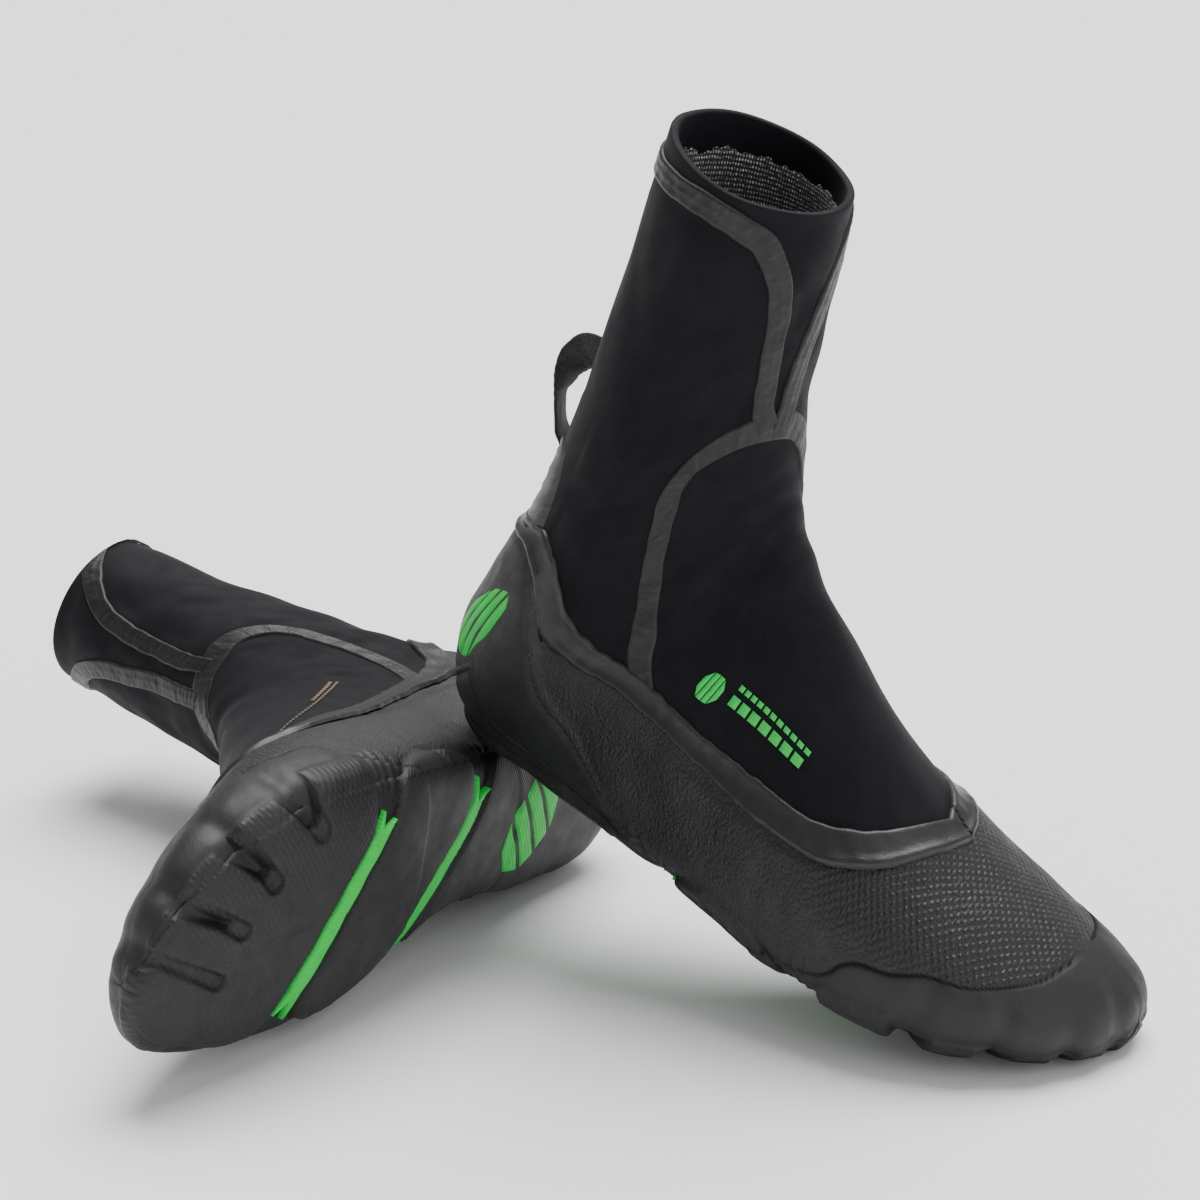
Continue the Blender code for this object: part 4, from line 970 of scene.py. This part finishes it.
def ribbon(boot, name, line):
    """Green flex strip in the groove between two pads, forked at its ends."""
    path = smooth_line(line, 1.0)
    across = crosswise(path)
    run = np.arange(len(path)) * 1.0
    half = (3.7 + 0.12 * wobble(run, 9, 61))[:, None]
    fork = 6.5
    shares = np.array((0, 0.06, 0.15, 0.3, 0.5, 0.7, 0.85, 0.94, 1.0))
    split = np.clip(1 - run / fork, 0, 1)[:, None] * 0.95
    far = np.clip(1 - (run[-1] - run) / fork, 0, 1)[:, None] * 0.8
    cut = np.maximum(split, far)
    outer_lip = np.interp(shares, (0, 0.8, 0.92, 1), (0.0, 0.0, -0.3, -2.9))
    inner_lip = np.where(cut > 0.02, np.interp(shares, (0, 0.1, 0.2), (-2.9, -0.3, 0.0)), 0)
    grids, faces, flats = [], [], []
    for side in (-1, 1):
        v = side * (cut + (1 - cut) * shares)
        centre = path[:, None, :] + across[:, None, :] * (v * half * (1 + 0.12 * split))[:, :, None]
        grid = underside(boot, centre.reshape(-1, 2))
        grid[:, 2] -= (2.1 + outer_lip + inner_lip).ravel()
        quads = ring_faces(*v.shape, closed=False) + (side > 0) * len(grid)
        faces.append(quads if side > 0 else quads[:, ::-1])
        flats.append(unrolled(run, v * 2.5))
        grids.append(grid)
    boot.make("foot", name, np.concatenate(grids), np.concatenate(faces)[:, ::-1], "green_rubber",
              {"flat": np.concatenate(flats)})


def ribbons(boot):
    ribbon(boot, "front_flex_strip", FRONT_STRIP)
    ribbon(boot, "rear_flex_strip", REAR_STRIP)


def emblem(boot):
    """Green inlay in the heel pad."""
    flat, faces, edge = tile(segments(20.0, 14.5), 9, 17)
    c, s = cos_sin(41)
    points = underside(boot, flat[:, :2] @ np.array(((c, s), (-s, c))) + (78, -7))
    points[:, 2] -= np.where(edge > 0, 0.45, -0.3)
    boot.make("foot", "sole_emblem", points, faces[:, ::-1], "green_rubber", {"flat": flat})


def decal(boot, body, name, quads, centre, turn, base, paint, replaces=None, thick=0.12, across=5, along=9):
    """Flat mark on the outer side: quads in millimetres, first towards the toes, then up from the place."""
    flat, faces, edge = tile(quads, across, along)
    c, s = cos_sin(turn)
    ahead, up = flat[:, 0] * c - flat[:, 1] * s, flat[:, 0] * s + flat[:, 1] * c
    place = (centre[0] - ahead, centre[1] + up / FLAT)
    outward = normals(*place)
    points = surface(*place) + outward * (base + np.where(edge > 0, thick, -0.2))[:, None]
    boot.make(body, name, points, outward_faces(points, faces, outward), paint, {"flat": flat}, replaces)


def marks(boot):
    """Plain marks: a heel badge, a green mark on the right boot's outer side and gold dashes on the left's."""
    decal(boot, "foot", "heel_badge", segments(10.5, 11.5), (276, -130), 66, 2.2, "green_rubber",
               thick=0.35, across=7, along=15)
    if boot.side == "right":
        quads = [[(x - 2.4, y + 0.8) for x, y in quad] for quad in segments(6.0, 2.9)]
        quads += dashes(7, 8.4, 5.6, 4.4, 0.3, 2.5, 0.3) + dashes(11, 9.0, 3.6, 2.7, 3.7, 4.9, 0.1)
        decal(boot, "ankle", "side_print", quads, (188, -60), 9, 0.5, "green_print", ())
    else:
        quads = dashes(24, 0.0, 4.2, 2.9, 0.0, 0.6) + dashes(9, 0.0, 4.6, 3.4, 1.2, 2.1)
        decal(boot, "ankle", "side_print", quads, (221, -60), 4, 0.55, "gold_print", ())


def loop(boot):
    """Webbing pull loop on the back."""
    path = smooth_line(LOOP_LINE, 1.2)
    away = crosswise(path[:, :2])
    sides = 24
    turns = np.linspace(0, 2 * math.pi, sides + 1)[:-1]
    across = signed_power(np.cos(turns), 0.3)
    thick = signed_power(np.sin(turns), 0.6)
    run = np.arange(len(path)) * 1.2
    rings = []
    for (x, z, half, tilt), (ax, az), r in zip(path, away, run):
        c, s = cos_sin(tilt)
        wide, lift = across * half, thick * 0.75 + 0.1 * math.sin(r * 0.55) * across
        side, rise = wide * c - lift * s, wide * s + lift * c
        rings.append(np.column_stack((x + ax * rise, side, z + az * rise)))
    points = np.array(rings)
    outward = (points - points.mean(axis=1, keepdims=True)).reshape(-1, 3)
    faces = outward_faces(points.reshape(-1, 3), ring_faces(len(path), sides), outward)
    boot.make("pull", "pull_loop", points, faces, "webbing",
              {"flat": unrolled(run, np.tile(across * 7.5, (len(path), 1)))})


for side in ("right", "left"):
    boot = Boot(side)
    for build in (neoprene, lining, rubber, tapes, edge_band, ribbons, emblem, marks, loop):
        build(boot)


# -------- floor, light and camera
def floor():
    bpy.ops.mesh.primitive_plane_add(size=60, location=(0, 0, -0.0004))
    plane = bpy.context.object
    plane.name = "floor"
    p = Paint("pale floor", (0.93, 0.93, 0.93), 0.9, Specular_IOR_Level=0.1)
    plane.data.materials.append(p.material)


def lights():
    world = bpy.context.scene.world or bpy.data.worlds.new("studio")
    bpy.context.scene.world = world
    world.use_nodes = True
    sky = world.node_tree.nodes["Background"].inputs
    sky["Color"].default_value = (1, 1, 1, 1)
    sky["Strength"].default_value = 0.5
    for name, toward, power, spread in (("key", (-0.1, 0.35, 1.0), 5.2, 50),
                                        ("fill", (1.0, -0.1, 0.5), 0.9, 60)):
        light = bpy.data.lights.new(name, "SUN")
        light.energy = power
        light.angle = math.radians(spread)
        thing = bpy.data.objects.new(name, light)
        thing.rotation_euler = Vector(toward).to_track_quat("Z", "Y").to_euler()
        bpy.context.scene.collection.objects.link(thing)


def camera():
    """35 degrees round, 17.1 degrees up, about a metre away."""
    data = bpy.data.cameras.new("camera")
    data.lens = 79.2
    data.sensor_width = 36
    thing = bpy.data.objects.new("camera", data)
    bpy.context.scene.collection.objects.link(thing)
    thing.location = (0.5674, -0.6920, 0.4179)
    thing.rotation_euler = (math.radians(90 - 17.1), 0, math.radians(35))
    bpy.context.scene.camera = thing


floor()
lights()
camera()
